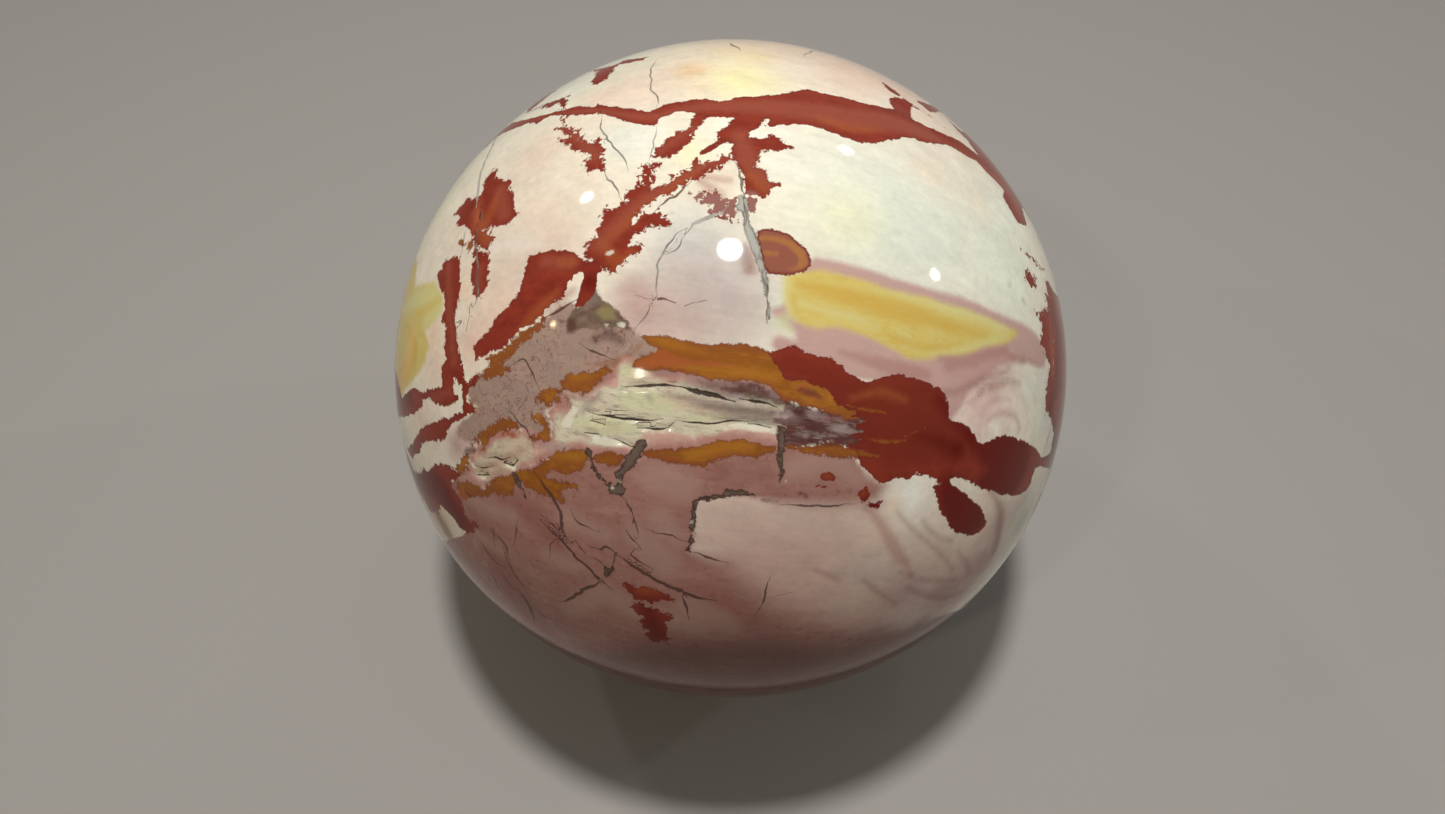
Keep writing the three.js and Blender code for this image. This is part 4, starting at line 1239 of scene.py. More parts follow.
class Surface:
    """The stone's vertices as directions from its middle, and the distances between them and the markings."""

    def __init__(self, directions):
        self.directions = directions
        self.points = directions * MEAN_RADIUS
        self.seed = 0

    def next_seed(self):
        """A new seed for each marking, so that no two edges wander alike."""
        self.seed += 1
        return self.seed

    def outline_depth(self, ragged, outline):
        """How many millimetres each vertex lies inside an outline of the photograph, negative outside it. The
        outline and the vertices near it are laid flat about the outline's middle, each as far from the middle
        and in the same direction as on the stone."""
        corners = from_photo(walk(outline, OUTLINE_STEP, closed=True)) * MEAN_RADIUS
        edge = wander(walk(corners, EDGE_STEP, closed=True), ragged, True, self.next_seed())
        middle = unit(edge.mean(axis=0))
        first = unit(np.cross(middle, ASIDE))
        second = np.cross(middle, first)

        def laid_flat(directions):
            angle = np.arccos(np.clip(directions @ middle, -1, 1))
            stretch = MEAN_RADIUS * angle / np.maximum(np.sin(angle), 1e-9)
            return np.stack([directions @ first, directions @ second], axis=1) * stretch[:, None]

        starts = laid_flat(edge / MEAN_RADIUS)
        ends = np.roll(starts, -1, axis=0)
        flat = laid_flat(self.directions)
        near = np.all((flat > starts.min(axis=0) - REACH) & (flat < starts.max(axis=0) + REACH), axis=1)
        near &= self.directions @ middle > FLAT_LIMIT
        distance, _, _ = nearest(flat[near], starts, ends)
        within = inside_outline(flat[near], starts, ends)
        depth = np.full(len(self.points), -REACH)
        depth[near] = np.where(within, distance, -distance)
        return depth

    def outlines(self, layer):
        """The depth inside the union of a layer's outlines, and how ragged the nearest one's edge is."""
        depths = np.array([self.outline_depth(ragged, outline) for ragged, outline in layer.values()])
        ragged = np.array([ragged for ragged, _ in layer.values()])
        return np.clip(depths.max(axis=0), -REACH, REACH), ragged[depths.argmax(axis=0)]

    def line_depth(self, lines, place, step, scale, ragged=0.0):
        """How many millimetres each vertex lies inside lines of changing half width. place turns the lines'
        first two numbers into directions, and scale turns their third into millimetres."""
        depth = np.full(len(self.points), -REACH)
        for line in lines:
            table = walk(rounded(line if len(line) > 1 else line * 2), step)
            path = place(table) * MEAN_RADIUS
            if ragged and len(path) > 2:
                path = wander(path, ragged, False, self.next_seed())
            width = table[:, 2] * scale
            distance, which, share = nearest(self.points, path[:-1], path[1:])
            depth = np.maximum(depth, width[which] * (1 - share) + width[which + 1] * share - distance)
        return depth

    def back_depth(self, name):
        """The depth inside a set of lines on the unseen side, its edge broken up by noise of three sizes."""
        depth = self.line_depth(BACK_LINES[name], from_angles, BACK_STEP, 1.0, BACK_LINE_RAGGED)
        for cell, height in BACK_NOISE:
            depth = depth + height * value_noise(self.points, cell, self.next_seed())
        return np.clip(depth, -REACH, REACH)

    def drawn_streaks(self, name):
        """The depth inside soft streaks, drawn on either side."""
        depth = self.line_depth(STREAKS[name], from_photo, STREAK_STEP, 1 / PIXELS_PER_MM)
        if name in BACK_LINES:
            depth = np.maximum(depth, self.line_depth(BACK_LINES[name], from_angles, BACK_STEP, 1.0))
        return np.clip(depth, -REACH, REACH)

    def distance_from(self, pixel):
        """Millimetres along the surface from a place in the photograph."""
        return np.arccos(np.clip(self.directions @ from_photo([pixel])[0], -1, 1)) * MEAN_RADIUS

    def washed_ground(self):
        """The cream ground's colour, with each wash laid over it by a bell curve of the distance from its
        middle."""
        colour = np.tile(linear(GROUND_COLOURS["cream"]), (len(self.points), 1))
        washes = [(from_photo([wash[:2]])[0], wash[2] / PIXELS_PER_MM, *wash[3:]) for wash in WASHES]
        for *place, angle, name, strength in BACK_WASHES:
            washes.append((from_angles(place), math.radians(angle) * MEAN_RADIUS, name, strength))
        for middle, radius, name, strength in washes:
            distance = np.arccos(np.clip(self.directions @ middle, -1, 1)) * MEAN_RADIUS
            cover = (strength * np.exp(-((distance / radius) ** 2)))[:, None]
            colour = colour * (1 - cover) + linear(GROUND_COLOURS[name]) * cover
        return np.hstack([colour, np.ones((len(colour), 1))])

    def cracks(self):
        """The nearest crack of each vertex: the distance to its line with a sign for the side, the distance
        to the line's nearest point, its half width, which tapers to its ends, and how red-brown it is, where
        -1 is a fissure."""
        drawn = []
        for width, tone, line in CRACKS.values():
            drawn.append((width / PIXELS_PER_MM, tone, CRACK_RAGGED, from_photo(rounded(line))))
        for width, line in FISSURES.values():
            drawn.append((width / PIXELS_PER_MM, -1, FISSURE_RAGGED, from_photo(rounded(line))))
        for width, tone, line in BACK_CRACKS:
            drawn.append((width, tone, BACK_RAGGED, from_angles(rounded(line))))
        near = np.full(len(self.points), REACH)
        side, half, redness = near.copy(), np.zeros(len(near)), np.zeros(len(near))
        for width, tone, ragged, directions in drawn:
            path = wander(walk(directions * MEAN_RADIUS, EDGE_STEP), ragged, False, self.next_seed())
            middle = path.mean(axis=0)
            spread = np.linalg.norm(path - middle, axis=1).max() + REACH
            close = np.flatnonzero(np.linalg.norm(self.points - middle, axis=1) < spread)
            distance, which, share = nearest(self.points[close], path[:-1], path[1:])
            nearer = distance < near[close]
            close, distance, which, share = close[nearer], distance[nearer], which[nearer], share[nearer]
            steps = np.linalg.norm(np.diff(path, axis=0), axis=1)
            gone = np.append(0, np.cumsum(steps))
            reached = gone[which] + share * steps[which]
            taper = np.clip(np.minimum(reached, gone[-1] - reached) / TAPER_LENGTH, TIP_SHARE, 1)
            across = unit(np.cross(path[:-1], np.diff(path, axis=0)))[which]
            near[close] = distance
            side[close] = ((self.points[close] - path[which]) * across).sum(1)
            half[close] = width / 2 * taper
            redness[close] = tone
        return {"crack side": side, "crack near": near, "crack half": half, "crack tone": redness}

    def fissures(self):
        """How deep the fissures and the hole cut at each vertex: a bell curve of the distance from the
        nearest one's line, deeper for a wider one."""
        cut = np.zeros(len(self.points))
        for width, line in FISSURES.values():
            path = walk(from_photo(rounded(line)) * MEAN_RADIUS, EDGE_STEP)
            close = np.linalg.norm(self.points - path.mean(axis=0), axis=1) < len(path) * EDGE_STEP + REACH
            distance, _, _ = nearest(self.points[close], path[:-1], path[1:])
            depth = FISSURE_DEPTH * width * np.exp(-((distance / FISSURE_SPREAD) ** 2))
            cut[close] = np.maximum(cut[close], depth)
        return cut


def linear(colour):
    """An sRGB colour in bytes as linear light."""
    share = np.asarray(colour, float) / 255
    return np.where(share <= 0.04045, share / 12.92, ((share + 0.055) / 1.055) ** 2.4)


def cube_sphere():
    """Directions and four-cornered faces of a cube blown up to a sphere. On each side of the cube the two
    parameters are places along its edges, turned into tangents of equal angles, and points that sides share
    are kept once."""
    base = CELLS + 1
    across, up = np.meshgrid(np.arange(base), np.arange(base), indexing="ij")
    corners, quads = [], []
    for axis in range(3):
        for end in (0, CELLS):
            lattice = np.empty((base, base, 3), int)
            lattice[..., axis] = end
            lattice[..., (axis + 1) % 3] = across
            lattice[..., (axis + 2) % 3] = up
            number = lattice @ (1, base, base**2)
            ring = [number[:-1, :-1], number[1:, :-1], number[1:, 1:], number[:-1, 1:]]
            quads.append(np.stack(ring if end else ring[::-1], axis=-1).reshape(-1, 4))
            corners.append(lattice.reshape(-1, 3))
    corners = np.concatenate(corners)
    numbers, kept = np.unique(corners @ (1, base, base**2), return_index=True)
    order = np.full(base**3, -1)
    order[numbers] = np.arange(len(kept))
    tangents = np.tan((corners[kept] / CELLS * 2 - 1) * math.pi / 4)
    return unit(tangents), order[np.concatenate(quads)]


def gathered_to_front(directions):
    """Directions drawn together round the front place: the tangent of the half angle from it is divided by
    the fineness, which makes the mesh finer there, and the sphere then turns to bring its pole to it."""
    angle = np.arccos(np.clip(directions[:, 2], -1, 1))
    closer = 2 * np.arctan2(np.sin(angle / 2), FINENESS * np.cos(angle / 2))
    level = unit(directions[:, :2] + 1e-12)
    drawn = np.column_stack([level * np.sin(closer)[:, None], np.cos(closer)])
    front = Vector(from_photo([FRONT])[0])
    return drawn @ np.array(Vector((0, 0, 1)).rotation_difference(front).to_matrix()).T


def bake_map(directions, quads):
    """Places of the faces' corners on two round charts that keep areas: a large one about the front and a
    small one about the back. On each, the distance from the middle goes with the sine of half the angle."""
    front = from_photo([FRONT])[0]
    first = unit(np.cross(front, ASIDE))
    second = np.cross(front, first)
    sides = np.stack([directions @ first, directions @ second], axis=1)
    middles = unit(directions[quads].mean(axis=1))
    seen = middles @ front > math.cos(FRONT_CHART_ANGLE)
    charts = []
    for facing, angle, radius, centre in (
        (1, FRONT_CHART_ANGLE, FRONT_CHART_RADIUS, FRONT_CHART_RADIUS + CHART_MARGIN),
        (-1, math.pi - FRONT_CHART_ANGLE, BACK_CHART_RADIUS, 1 - BACK_CHART_RADIUS - CHART_MARGIN),
    ):
        away = 1 + facing * (directions @ front)
        scale = radius / (2 * math.sin(angle / 2)) * np.sqrt(2 / np.maximum(away, 1e-6))
        charts.append(centre + sides * np.array([1, facing]) * scale[:, None])
    return np.where(seen[:, None, None], charts[0][quads], charts[1][quads])


def stone_layers(surface):
    """The numbers that each vertex holds for each layer of the stone's colour."""
    layers = {}
    for name, layer in OUTLINED.items():
        depth, ragged = surface.outlines(layer)
        if name in BACK_LINES:
            behind = surface.back_depth(name)
            ragged = np.where(behind > depth, BACK_SMOOTH if name in SOFT_EDGED else BACK_RAGGED, ragged)
            depth = np.maximum(depth, behind)
        layers[name] = depth
        layers[name + " ragged"] = ragged
    for name in STREAKS:
        layers[name + " streak"] = surface.drawn_streaks(name)
    layers["mauve soft"] = mauve_softness(surface)
    layers["behind"] = smooth_step(surface.directions @ np.array(BACKWARDS), *BEHIND)
    layers["swirl"] = surface.distance_from(SWIRL_MIDDLE)
    layers["cut"] = surface.fissures()
    return {**layers, **surface.cracks()}


def mauve_softness(surface):
    """Half the width in millimetres over which the mauve ground's edge fades: little along the stepped crack,
    far more below the pale block, and some on the unseen side."""
    below = smooth_step(surface.distance_from(SOFT_MIDDLE), SOFT_REACH, SOFT_HEART)
    behind = smooth_step(surface.directions @ np.array(BACKWARDS), *BEHIND_EDGE)
    return CRISP + SOFT_BELOW * below + SOFT_BEHIND * behind


def make_stone():
    """The stone's mesh: each vertex lies at the stone's radius in its direction, less what the bark's grain
    and the fissures cut away."""
    directions, quads = cube_sphere()
    directions = gathered_to_front(directions)
    surface = Surface(directions)
    layers = stone_layers(surface)
    grain = value_noise(surface.points * GRAIN_SQUEEZE, GRAIN_CELL, surface.next_seed())
    rough = smooth_step(layers["bark"], *GRAIN_FADE) * GRAIN_DEPTH * (grain + 1) / 2
    radius = stone_radius(directions) - rough - layers["cut"]
    points = (directions * radius[:, None] + np.array([0, 0, CENTRE_HEIGHT])) * MM

    mesh = bpy.data.meshes.new("jasper_stone")
    mesh.vertices.add(len(points))
    mesh.vertices.foreach_set("co", points.ravel())
    mesh.loops.add(quads.size)
    mesh.loops.foreach_set("vertex_index", quads.ravel())
    mesh.polygons.add(len(quads))
    mesh.polygons.foreach_set("loop_start", np.arange(0, quads.size, 4))
    mesh.update(calc_edges=True)
    mesh.validate()
    mesh.shade_smooth()
    for name, values in layers.items():
        mesh.attributes.new(name, "FLOAT", "POINT").data.foreach_set("value", values.astype(np.float32))
    ground = surface.washed_ground().astype(np.float32)
    mesh.attributes.new("ground", "FLOAT_COLOR", "POINT").data.foreach_set("color", ground.ravel())
    chart = bake_map(directions, quads).astype(np.float32)
    mesh.uv_layers.new(name="OFBake").data.foreach_set("uv", chart.ravel())
    stone = bpy.data.objects.new("jasper_stone", mesh)
    bpy.context.scene.collection.objects.link(stone)
    return stone


class Value:
    """A shader socket that takes part in Python arithmetic. Each operation adds a Math node."""

    def __init__(self, nodes, socket):
        self.nodes = nodes
        self.socket = socket

    def math(self, operation, *values):
        """A Math node's result on the given values."""
        return self.nodes.add("Math", dict(enumerate(values)), operation=operation)

    def __add__(self, other):
        return self.math("ADD", self, other)

    def __sub__(self, other):
        return self.math("SUBTRACT", self, other)

    def __rsub__(self, other):
        return self.math("SUBTRACT", other, self)

    def __mul__(self, other):
        return self.math("MULTIPLY", self, other)

    def __abs__(self):
        return self.math("ABSOLUTE", self)

    __radd__ = __add__
    __rmul__ = __mul__

    def sine(self):
        """The sine of the value in radians."""
        return self.math("SINE", self)

    def smooth(self, low, high):
        """Zero at low, one at high, and a smooth S between them."""
        sockets = {"Value": self, "From Min": low, "From Max": high}
        return self.nodes.add("MapRange", sockets, interpolation_type="SMOOTHSTEP")


class Nodes:
    """The nodes of a material or a sky."""

    def __init__(self, tree):
        self.tree = tree

    def add(self, kind, sockets=None, output=0, **settings):
        """A new node: its settings first, then its sockets' values or links."""
        node = self.tree.nodes.new("ShaderNode" + kind)
        for name, value in settings.items():
            setattr(node, name, value)
        for name, value in (sockets or {}).items():
            if isinstance(value, Value):
                self.tree.links.new(value.socket, node.inputs[name])
            else:
                node.inputs[name].default_value = value
        return Value(self, node.outputs[output]) if len(node.outputs) else None

    def layer(self, name):
        """A number that the mesh holds for each vertex."""
        return self.add("Attribute", output="Fac", attribute_name=name)

    def mix(self, first, second, share):
        """The first colour where the share is zero, and the second where it is one."""
        return self.add("Mix", {0: share, 6: first, 7: second}, output=2, data_type="RGBA")

    def shade(self, colour, amount):
        """A colour made lighter or darker."""
        parts = colour if isinstance(colour, Value) else colour[:3]
        return self.add("VectorMath", {0: parts, "Scale": amount}, operation="SCALE")

    def noise(self, place, scale, detail=2.0, roughness=0.55):
        """Noise from about -1 to 1, with a given number of waves a millimetre."""
        sockets = {"Vector": place, "Scale": scale, "Detail": detail, "Roughness": roughness}
        return (self.add("TexNoise", sockets, output="Fac") - 0.5) * 3.0


def stone_material(colours):
    """Polished jasper: layers painted over each other from the cream ground up to the cracks."""
    material = bpy.data.materials.new("polished_jasper")
    material.use_nodes = True
    material.node_tree.nodes.clear()
    nodes = Nodes(material.node_tree)
    mix, shade, noise, layer = nodes.mix, nodes.shade, nodes.noise, nodes.layer

    def tone(name):
        """One of the user's colours."""
        return (*getattr(colours, name), 1)

    def tint(colour, name, share):
        """A colour with one of the user's colours mixed in."""
        return mix(colour, tone(name), share)

    def stretched(turn, share):
        """Places turned, and then squeezed along X, which draws a pattern out."""
        turned = nodes.add("Mapping", {"Vector": place, "Rotation": turn})
        return nodes.add("Mapping", {"Vector": turned, "Scale": (share, 1, 1)})

    place = nodes.add("TexCoord", output="Object")
    place = nodes.add("Mapping", {"Vector": place, "Scale": (1 / MM,) * 3})
    bedding = stretched(BEDDING_TURN, 0.2)
    flow = stretched(FLOW_TURN, 0.25)
    cloud = noise(place, 0.07, 3)
    drift = noise(flow, 0.17, 4, 0.6)
    patch = noise(place, 0.45, 3)
    grain = noise(place, 1.3, 3)
    speck = noise(place, 5.0, 2)
    streak = noise(bedding, 0.55, 4, 0.6)
    thread = noise(bedding, 2.2, 3, 0.6)
    wisp = noise(flow, 0.55, 4, 0.65)
    spikes = noise(place, 1.4, 4, 0.7)
    fibre = noise(stretched(BEDDING_TURN, 0.12), 1.5, 5, 0.75)
    dots = noise(place, 2.8, 1)
    edge = grain * 0.08 + speck * 0.07

    def depth_of(name):
        """How many millimetres a place lies inside a layer, its edge broken up by noise."""
        return layer(name) + edge + layer(name + " ragged") * spikes * SPIKE_HEIGHT

    def covers(name, soft=0.06):
        """How much a layer covers a place: it fades out over the softness on either side of its edge."""
        return depth_of(name).smooth(-soft, soft)

    def stain(colour, name, tone_name, strength, soft):
        """A colour with a group of soft streaks over it."""
        depth = layer(name + " streak") + edge * 2.0 + spikes * 0.12
        return tint(colour, tone_name, depth.smooth(-soft, soft * 1.4) * strength)

    # The pale ground and its veils.
    colour = nodes.add("Attribute", output="Color", attribute_name="ground")
    colour = shade(colour, 1.0 + drift * 0.07 + patch * 0.07 + wisp * 0.09 + fibre * 0.07 + grain * 0.06)
    colour = tint(colour, "blush", (drift + cloud * 0.8).smooth(0.25, 1.3) * 0.35)
    colour = tint(colour, "milk", (cloud * 0.6 - drift).smooth(0.2, 1.2) * 0.5)
    colour = tint(colour, "milk", wisp.smooth(0.3, 1.2) * 0.25)
    veil = abs(patch).smooth(0.10, 0.0) * cloud.smooth(-0.2, 0.8)
    # The unseen side has more veils, with soft bands, hairlines and a spray of red dots.
    behind = layer("behind")
    colour = tint(colour, "rim", veil * (behind * 0.35 + 0.12))
    wide = noise(place, 0.035, 2)
    colour = tint(colour, "rim", (drift * 0.8 - wide).smooth(0.0, 0.6) * behind * 0.5)
    bands = (cloud * 15.0 + drift * 4.0 + patch).sine().smooth(0.1, 1.0) * wide.smooth(-0.2, 0.2)
    colour = tint(colour, "rose", bands * behind * 0.4)
    bend = nodes.add("TexNoise", {"Vector": place, "Scale": 0.2}, output="Color")
    warped = nodes.add("VectorMath", {0: place, 1: bend, 2: (7.0,) * 3}, operation="MULTIPLY_ADD")
    cells = nodes.add("TexVoronoi", {"Vector": warped, "Scale": 0.045}, output="Distance",
                      feature="DISTANCE_TO_EDGE")
    hairs = (cells * 22.0 - grain * 0.04).smooth(0.14, 0.02) * (patch + cloud).smooth(-0.5, 0.5)
    colour = tint(colour, "slate", hairs * behind * 0.75)
    spray = (grain + patch * 0.6).smooth(0.6, 0.8) * layer("red").smooth(-3.9, -0.5)
    colour = tint(colour, "faded", spray * behind * 0.8)
    # Faint arcs about a place at the right.
    swirl = layer("swirl")
    arcs = (swirl * 2.75 + patch * 1.5 + drift * 1.5).sine()
    colour = tint(colour, "rim", arcs.smooth(-0.3, 1.0) * swirl.smooth(11, 5) * 0.12)

    # The mauve ground.
    mauve = shade(tone("mauve"), 1.0 + streak * 0.09 + patch * 0.07 + thread * 0.06 + cloud * 0.05)
    mauve = tint(mauve, "rosewood", (cloud + drift * 0.6).smooth(0.1, 1.2) * 0.4)
    mauve = tint(mauve, "putty", (streak + patch * 0.5).smooth(0.1, 0.8) * 0.35)
    mauve = tint(mauve, "putty", dots.smooth(0.45, 0.75) * 0.55)
    mauve = tint(mauve, "rosewood", (grain + fibre).smooth(0.1, 0.7) * 0.35)
    mauve = tint(mauve, "umber", (grain + dots * 0.4).smooth(0.45, 0.9) * 0.3)
    mauve = stain(mauve, "rosewood", "rosewood", 0.45, 1.2)
    mauve = stain(mauve, "putty", "putty", 0.55, 1.0)
    mauve = stain(mauve, "umber", "umber", 0.7, 1.0)
    # Painted shade: the shade group darkens the lower front of the mauve ground with umber.
    mauve = stain(mauve, "shade", "umber", 0.75, 5.0)
    softness = layer("mauve soft")
    on_mauve = (depth_of("mauve") + streak * softness * 0.35).smooth(0.0 - softness, softness)
    colour = mix(colour, mauve, on_mauve)

    # The yellow patches and their mauve border.
    rim = mix(tone("rim"), tone("rose"), (wisp + drift * 0.5).smooth(0.0, 1.3) * 0.45)
    rim = tint(rim, "blush", (drift - wisp * 0.6).smooth(0.2, 1.3) * 0.5)
    rim = shade(rim, 1.0 + streak * 0.05 + thread * 0.04)
    colour = mix(colour, rim, (depth_of("rim") + drift * 0.3).smooth(-0.5, 0.6) * 0.85)
    yellow = mix(tone("yellow"), tone("mustard"), (streak + thread * 0.5).smooth(-0.2, 0.7) * 0.4)
    yellow = tint(yellow, "lemon", (wisp - patch * 0.4).smooth(0.0, 0.6) * 0.35)
    yellow = stain(yellow, "mustard", "mustard", 0.7, 0.7)
    yellow = stain(yellow, "lemon", "lemon", 0.8, 0.7)
    yellow = stain(yellow, "amber", "amber", 0.6, 1.2)
    colour = mix(colour, yellow, (depth_of("yellow") + streak * 0.2).smooth(-0.5, 0.6))

    # The brecciated ground, the pink strips, the streaky end of the lens and the wedge.
    breccia = shade(tone("breccia"), 1.0 + patch * 0.15 + grain * 0.11 + speck * 0.06)
    breccia = tint(breccia, "putty", (drift + patch).smooth(0.2, 1.4) * 0.5)
    breccia = tint(breccia, "lilac", (grain - patch).smooth(0.5, 1.5) * 0.4)
    breccia = tint(breccia, "slate", (wisp + grain * 0.5).smooth(-0.1, 0.5) * 0.35)
    breccia = tint(breccia, "rosewood", (grain * 0.8 - fibre + patch).smooth(0.2, 0.8) * 0.35)
    breccia = tint(breccia, "maroon", (grain + dots * 0.7).smooth(0.45, 0.8) * 0.45)
    lines = abs(patch + grain * 0.35).smooth(0.07, 0.0)
    breccia = tint(breccia, "maroon", lines * cloud.smooth(-0.4, 0.3) * 0.5)
    colour = mix(colour, breccia, covers("breccia", 0.4))
    pink = mix(tone("pink"), tone("chalk"), (patch + thread * 0.6).smooth(-0.1, 1.1) * 0.6)
    pink = tint(pink, "rose", (depth_of("ochre") + thread * 0.15).smooth(-1.5, -0.1) * 0.75)
    colour = mix(colour, pink, covers("pink", 0.2))
    mixing = mix(tone("slate"), tone("maroon"), (fibre * 1.4 + streak).smooth(-0.6, 0.15) * 0.92)
    mixing = tint(mixing, "rosewood", (streak - fibre).smooth(0.1, 0.7) * 0.6)
    colour = mix(colour, mixing, covers("mixing", 0.35))
    wedge = shade(tone("wedge"), 1.0 + grain * 0.30 + patch * 0.25 + fibre * 0.25)
    wedge = stain(wedge, "olive", "olive", 0.8, 0.4)
    colour = mix(colour, wedge, covers("wedge", 0.12))

    # The bark.
    bark = mix(tone("bark"), tone("bark_green"), (streak + patch * 0.6).smooth(-0.4, 1.0) * 0.8)
    bark = tint(bark, "chalk", (thread + drift * 0.5).smooth(0.0, 0.7) * 0.6)
    bark = tint(bark, "pink", (streak - patch * 0.8).smooth(0.0, 0.7) * 0.5)
    bark = tint(bark, "slate", (fibre * 1.6 - grain * 0.4).smooth(0.05, 0.6) * 0.55)
    lines = abs(fibre).smooth(0.05, 0.0)
    bark = tint(bark, "vein_olive", lines * (patch + grain * 0.5).smooth(-0.3, 0.3) * 0.6)
    bark = tint(bark, "vein_olive", (streak * 0.6 - fibre * 1.4).smooth(0.55, 0.85) * 0.75)
    bark = tint(bark, "rose", depth_of("ochre").smooth(-1.2, -0.2) * 0.5)
    on_bark = covers("bark", 0.3)
    colour = mix(colour, bark, on_bark)

    # Stains and streaks over everything pale.
    for name, strength, soft in GROUND_STAINS:
        colour = stain(colour, name, name, strength, soft)

    # The ochre bands.
    ochre = mix(tone("ochre"), tone("golden"), (streak + thread * 0.5).smooth(-0.2, 0.6) * 0.8)
    ochre = tint(ochre, "ochre_brown", (thread + grain * 0.5).smooth(0.0, 0.7) * 0.6)
    ochre = tint(ochre, "rust", (fibre * 1.5 - streak * 0.5).smooth(0.1, 0.8) * 0.5)
    ochre = mix(tone("ochre_brown"), ochre, (depth_of("ochre") + streak * 0.4).smooth(-0.1, 0.9))
    ochre = stain(ochre, "golden", "golden", 0.6, 0.6)
    ochre = stain(ochre, "rust", "ochre_brown", 0.6, 0.6)
    ochre = mix(tone("maroon"), ochre, depth_of("ochre").smooth(-0.05, 0.25) * 0.55 + 0.45)
    colour = mix(colour, ochre, covers("ochre", 0.12))
    colour = tint(colour, "rust", covers("ochre streak", 0.2) * 0.8)
    colour = stain(colour, "maroon", "maroon", 0.70, 0.25)

    # The red veins and masses.
    red = shade(tone("brick_red"), 1.0 + streak * 0.16 + patch * 0.12 + fibre * 0.22 + grain * 0.10)
    # Painted sheen in part: the pale red lightens the red of the upper band and the left edge.
    red = stain(red, "pale red", "pale_red_and_sheen", 0.5, 0.8)
    red = stain(red, "mass red", "mass_red", 0.75, 1.4)
    red = stain(red, "rust", "rust", 0.5, 0.6)
    red = tint(red, "rust", (patch + thread * 0.4).smooth(0.5, 1.4) * 0.3)
    # Painted shade in part: the deep red darkens the red low on the stone and at its edges.
    red = stain(red, "deep red", "deep_red_and_shade", 0.85, 1.1)
    red = stain(red, "orange", "ochre", 0.8, 0.12)
    red = mix(tone("red_edge"), red, depth_of("red").smooth(0.0, 0.45) * 0.6 + 0.4)
    red = stain(red, "faded", "faded", 0.85, 0.4)
    colour = mix(colour, red, covers("red"))

    # The ringed eye.
    eye = depth_of("eye")
    target = mix(tone("eye_brown"), tone("ochre_brown"), (patch + grain * 0.4).smooth(0.1, 1.2) * 0.3)
    target = stain(target, "ring", "eye_ochre", 0.9, 0.25)
    target = mix(tone("red_edge"), target, eye.smooth(0.0, 0.45))
    colour = mix(colour, target, eye.smooth(-0.08, 0.08))

    # Veins, white spots and cracks.
    grey_vein = depth_of("grey vein") + patch * 0.15
    vein = mix(tone("vein_brown"), tone("vein_grey"), (grey_vein + patch * 0.2).smooth(-0.1, 0.35))
    colour = mix(colour, vein, grey_vein.smooth(-0.12, 0.12) * 0.9)
    dark_vein = depth_of("dark vein")
    vein = mix(tone("vein_brown"), tone("vein_olive"), (dark_vein + grain * 0.15).smooth(0.05, 0.4))
    colour = mix(colour, vein, dark_vein.smooth(-0.1, 0.1))
    colour = stain(colour, "chalk", "chalk", 0.75, 0.16)

    side = abs(layer("crack side"))
    width = layer("crack half") * (1.0 + grain * 0.45 + speck * 0.3)
    reach = layer("crack near") - width - behind * 0.3
    on_crack = (width - side).smooth(-0.05, 0.05) * reach.smooth(0.42, 0.30)
    redness = layer("crack tone")
    crack = mix(tone("vein_grey"), tone("vein_brown"), (redness * 2.0 + patch * 0.3).smooth(0.1, 0.8))
    crack = tint(crack, "maroon", redness.smooth(0.5, 0.9))
    crack = tint(crack, "fissure", redness.smooth(-0.2, -0.6))
    colour = mix(colour, crack, on_crack * (0.95 - redness.smooth(-0.5, 0.0) * 0.10))

    dull = on_bark * BARK_DULLNESS + layer("cut").smooth(0.05, 0.2) * FISSURE_DULLNESS
    height = on_bark * (thread * 0.6 + speck * 0.4)
    normal = nodes.add("Bump", {"Height": height, "Strength": BUMP_STRENGTH, "Distance": BUMP_HEIGHT * MM})
    shader = nodes.add("BsdfPrincipled", {
        "Base Color": colour,
        "Roughness": dull + colours.polish,
        "Normal": normal,
        "IOR": REFRACTION,
        "Specular IOR Level": GLOSS,
    })
    nodes.add("OutputMaterial", {"Surface": shader})
    return material


def swatch(name, description, colour):
    """A colour that a user can change, given in sRGB bytes."""
    return bpy.props.FloatVectorProperty(name=name, description=description, subtype="COLOR", min=0, max=1,
                                         default=tuple(linear(colour)))


def amount(name, description, default, least=0, **settings):
    """A size or a strength that a user can change."""
    return bpy.props.FloatProperty(name=name, description=description, default=default, min=least, **settings)


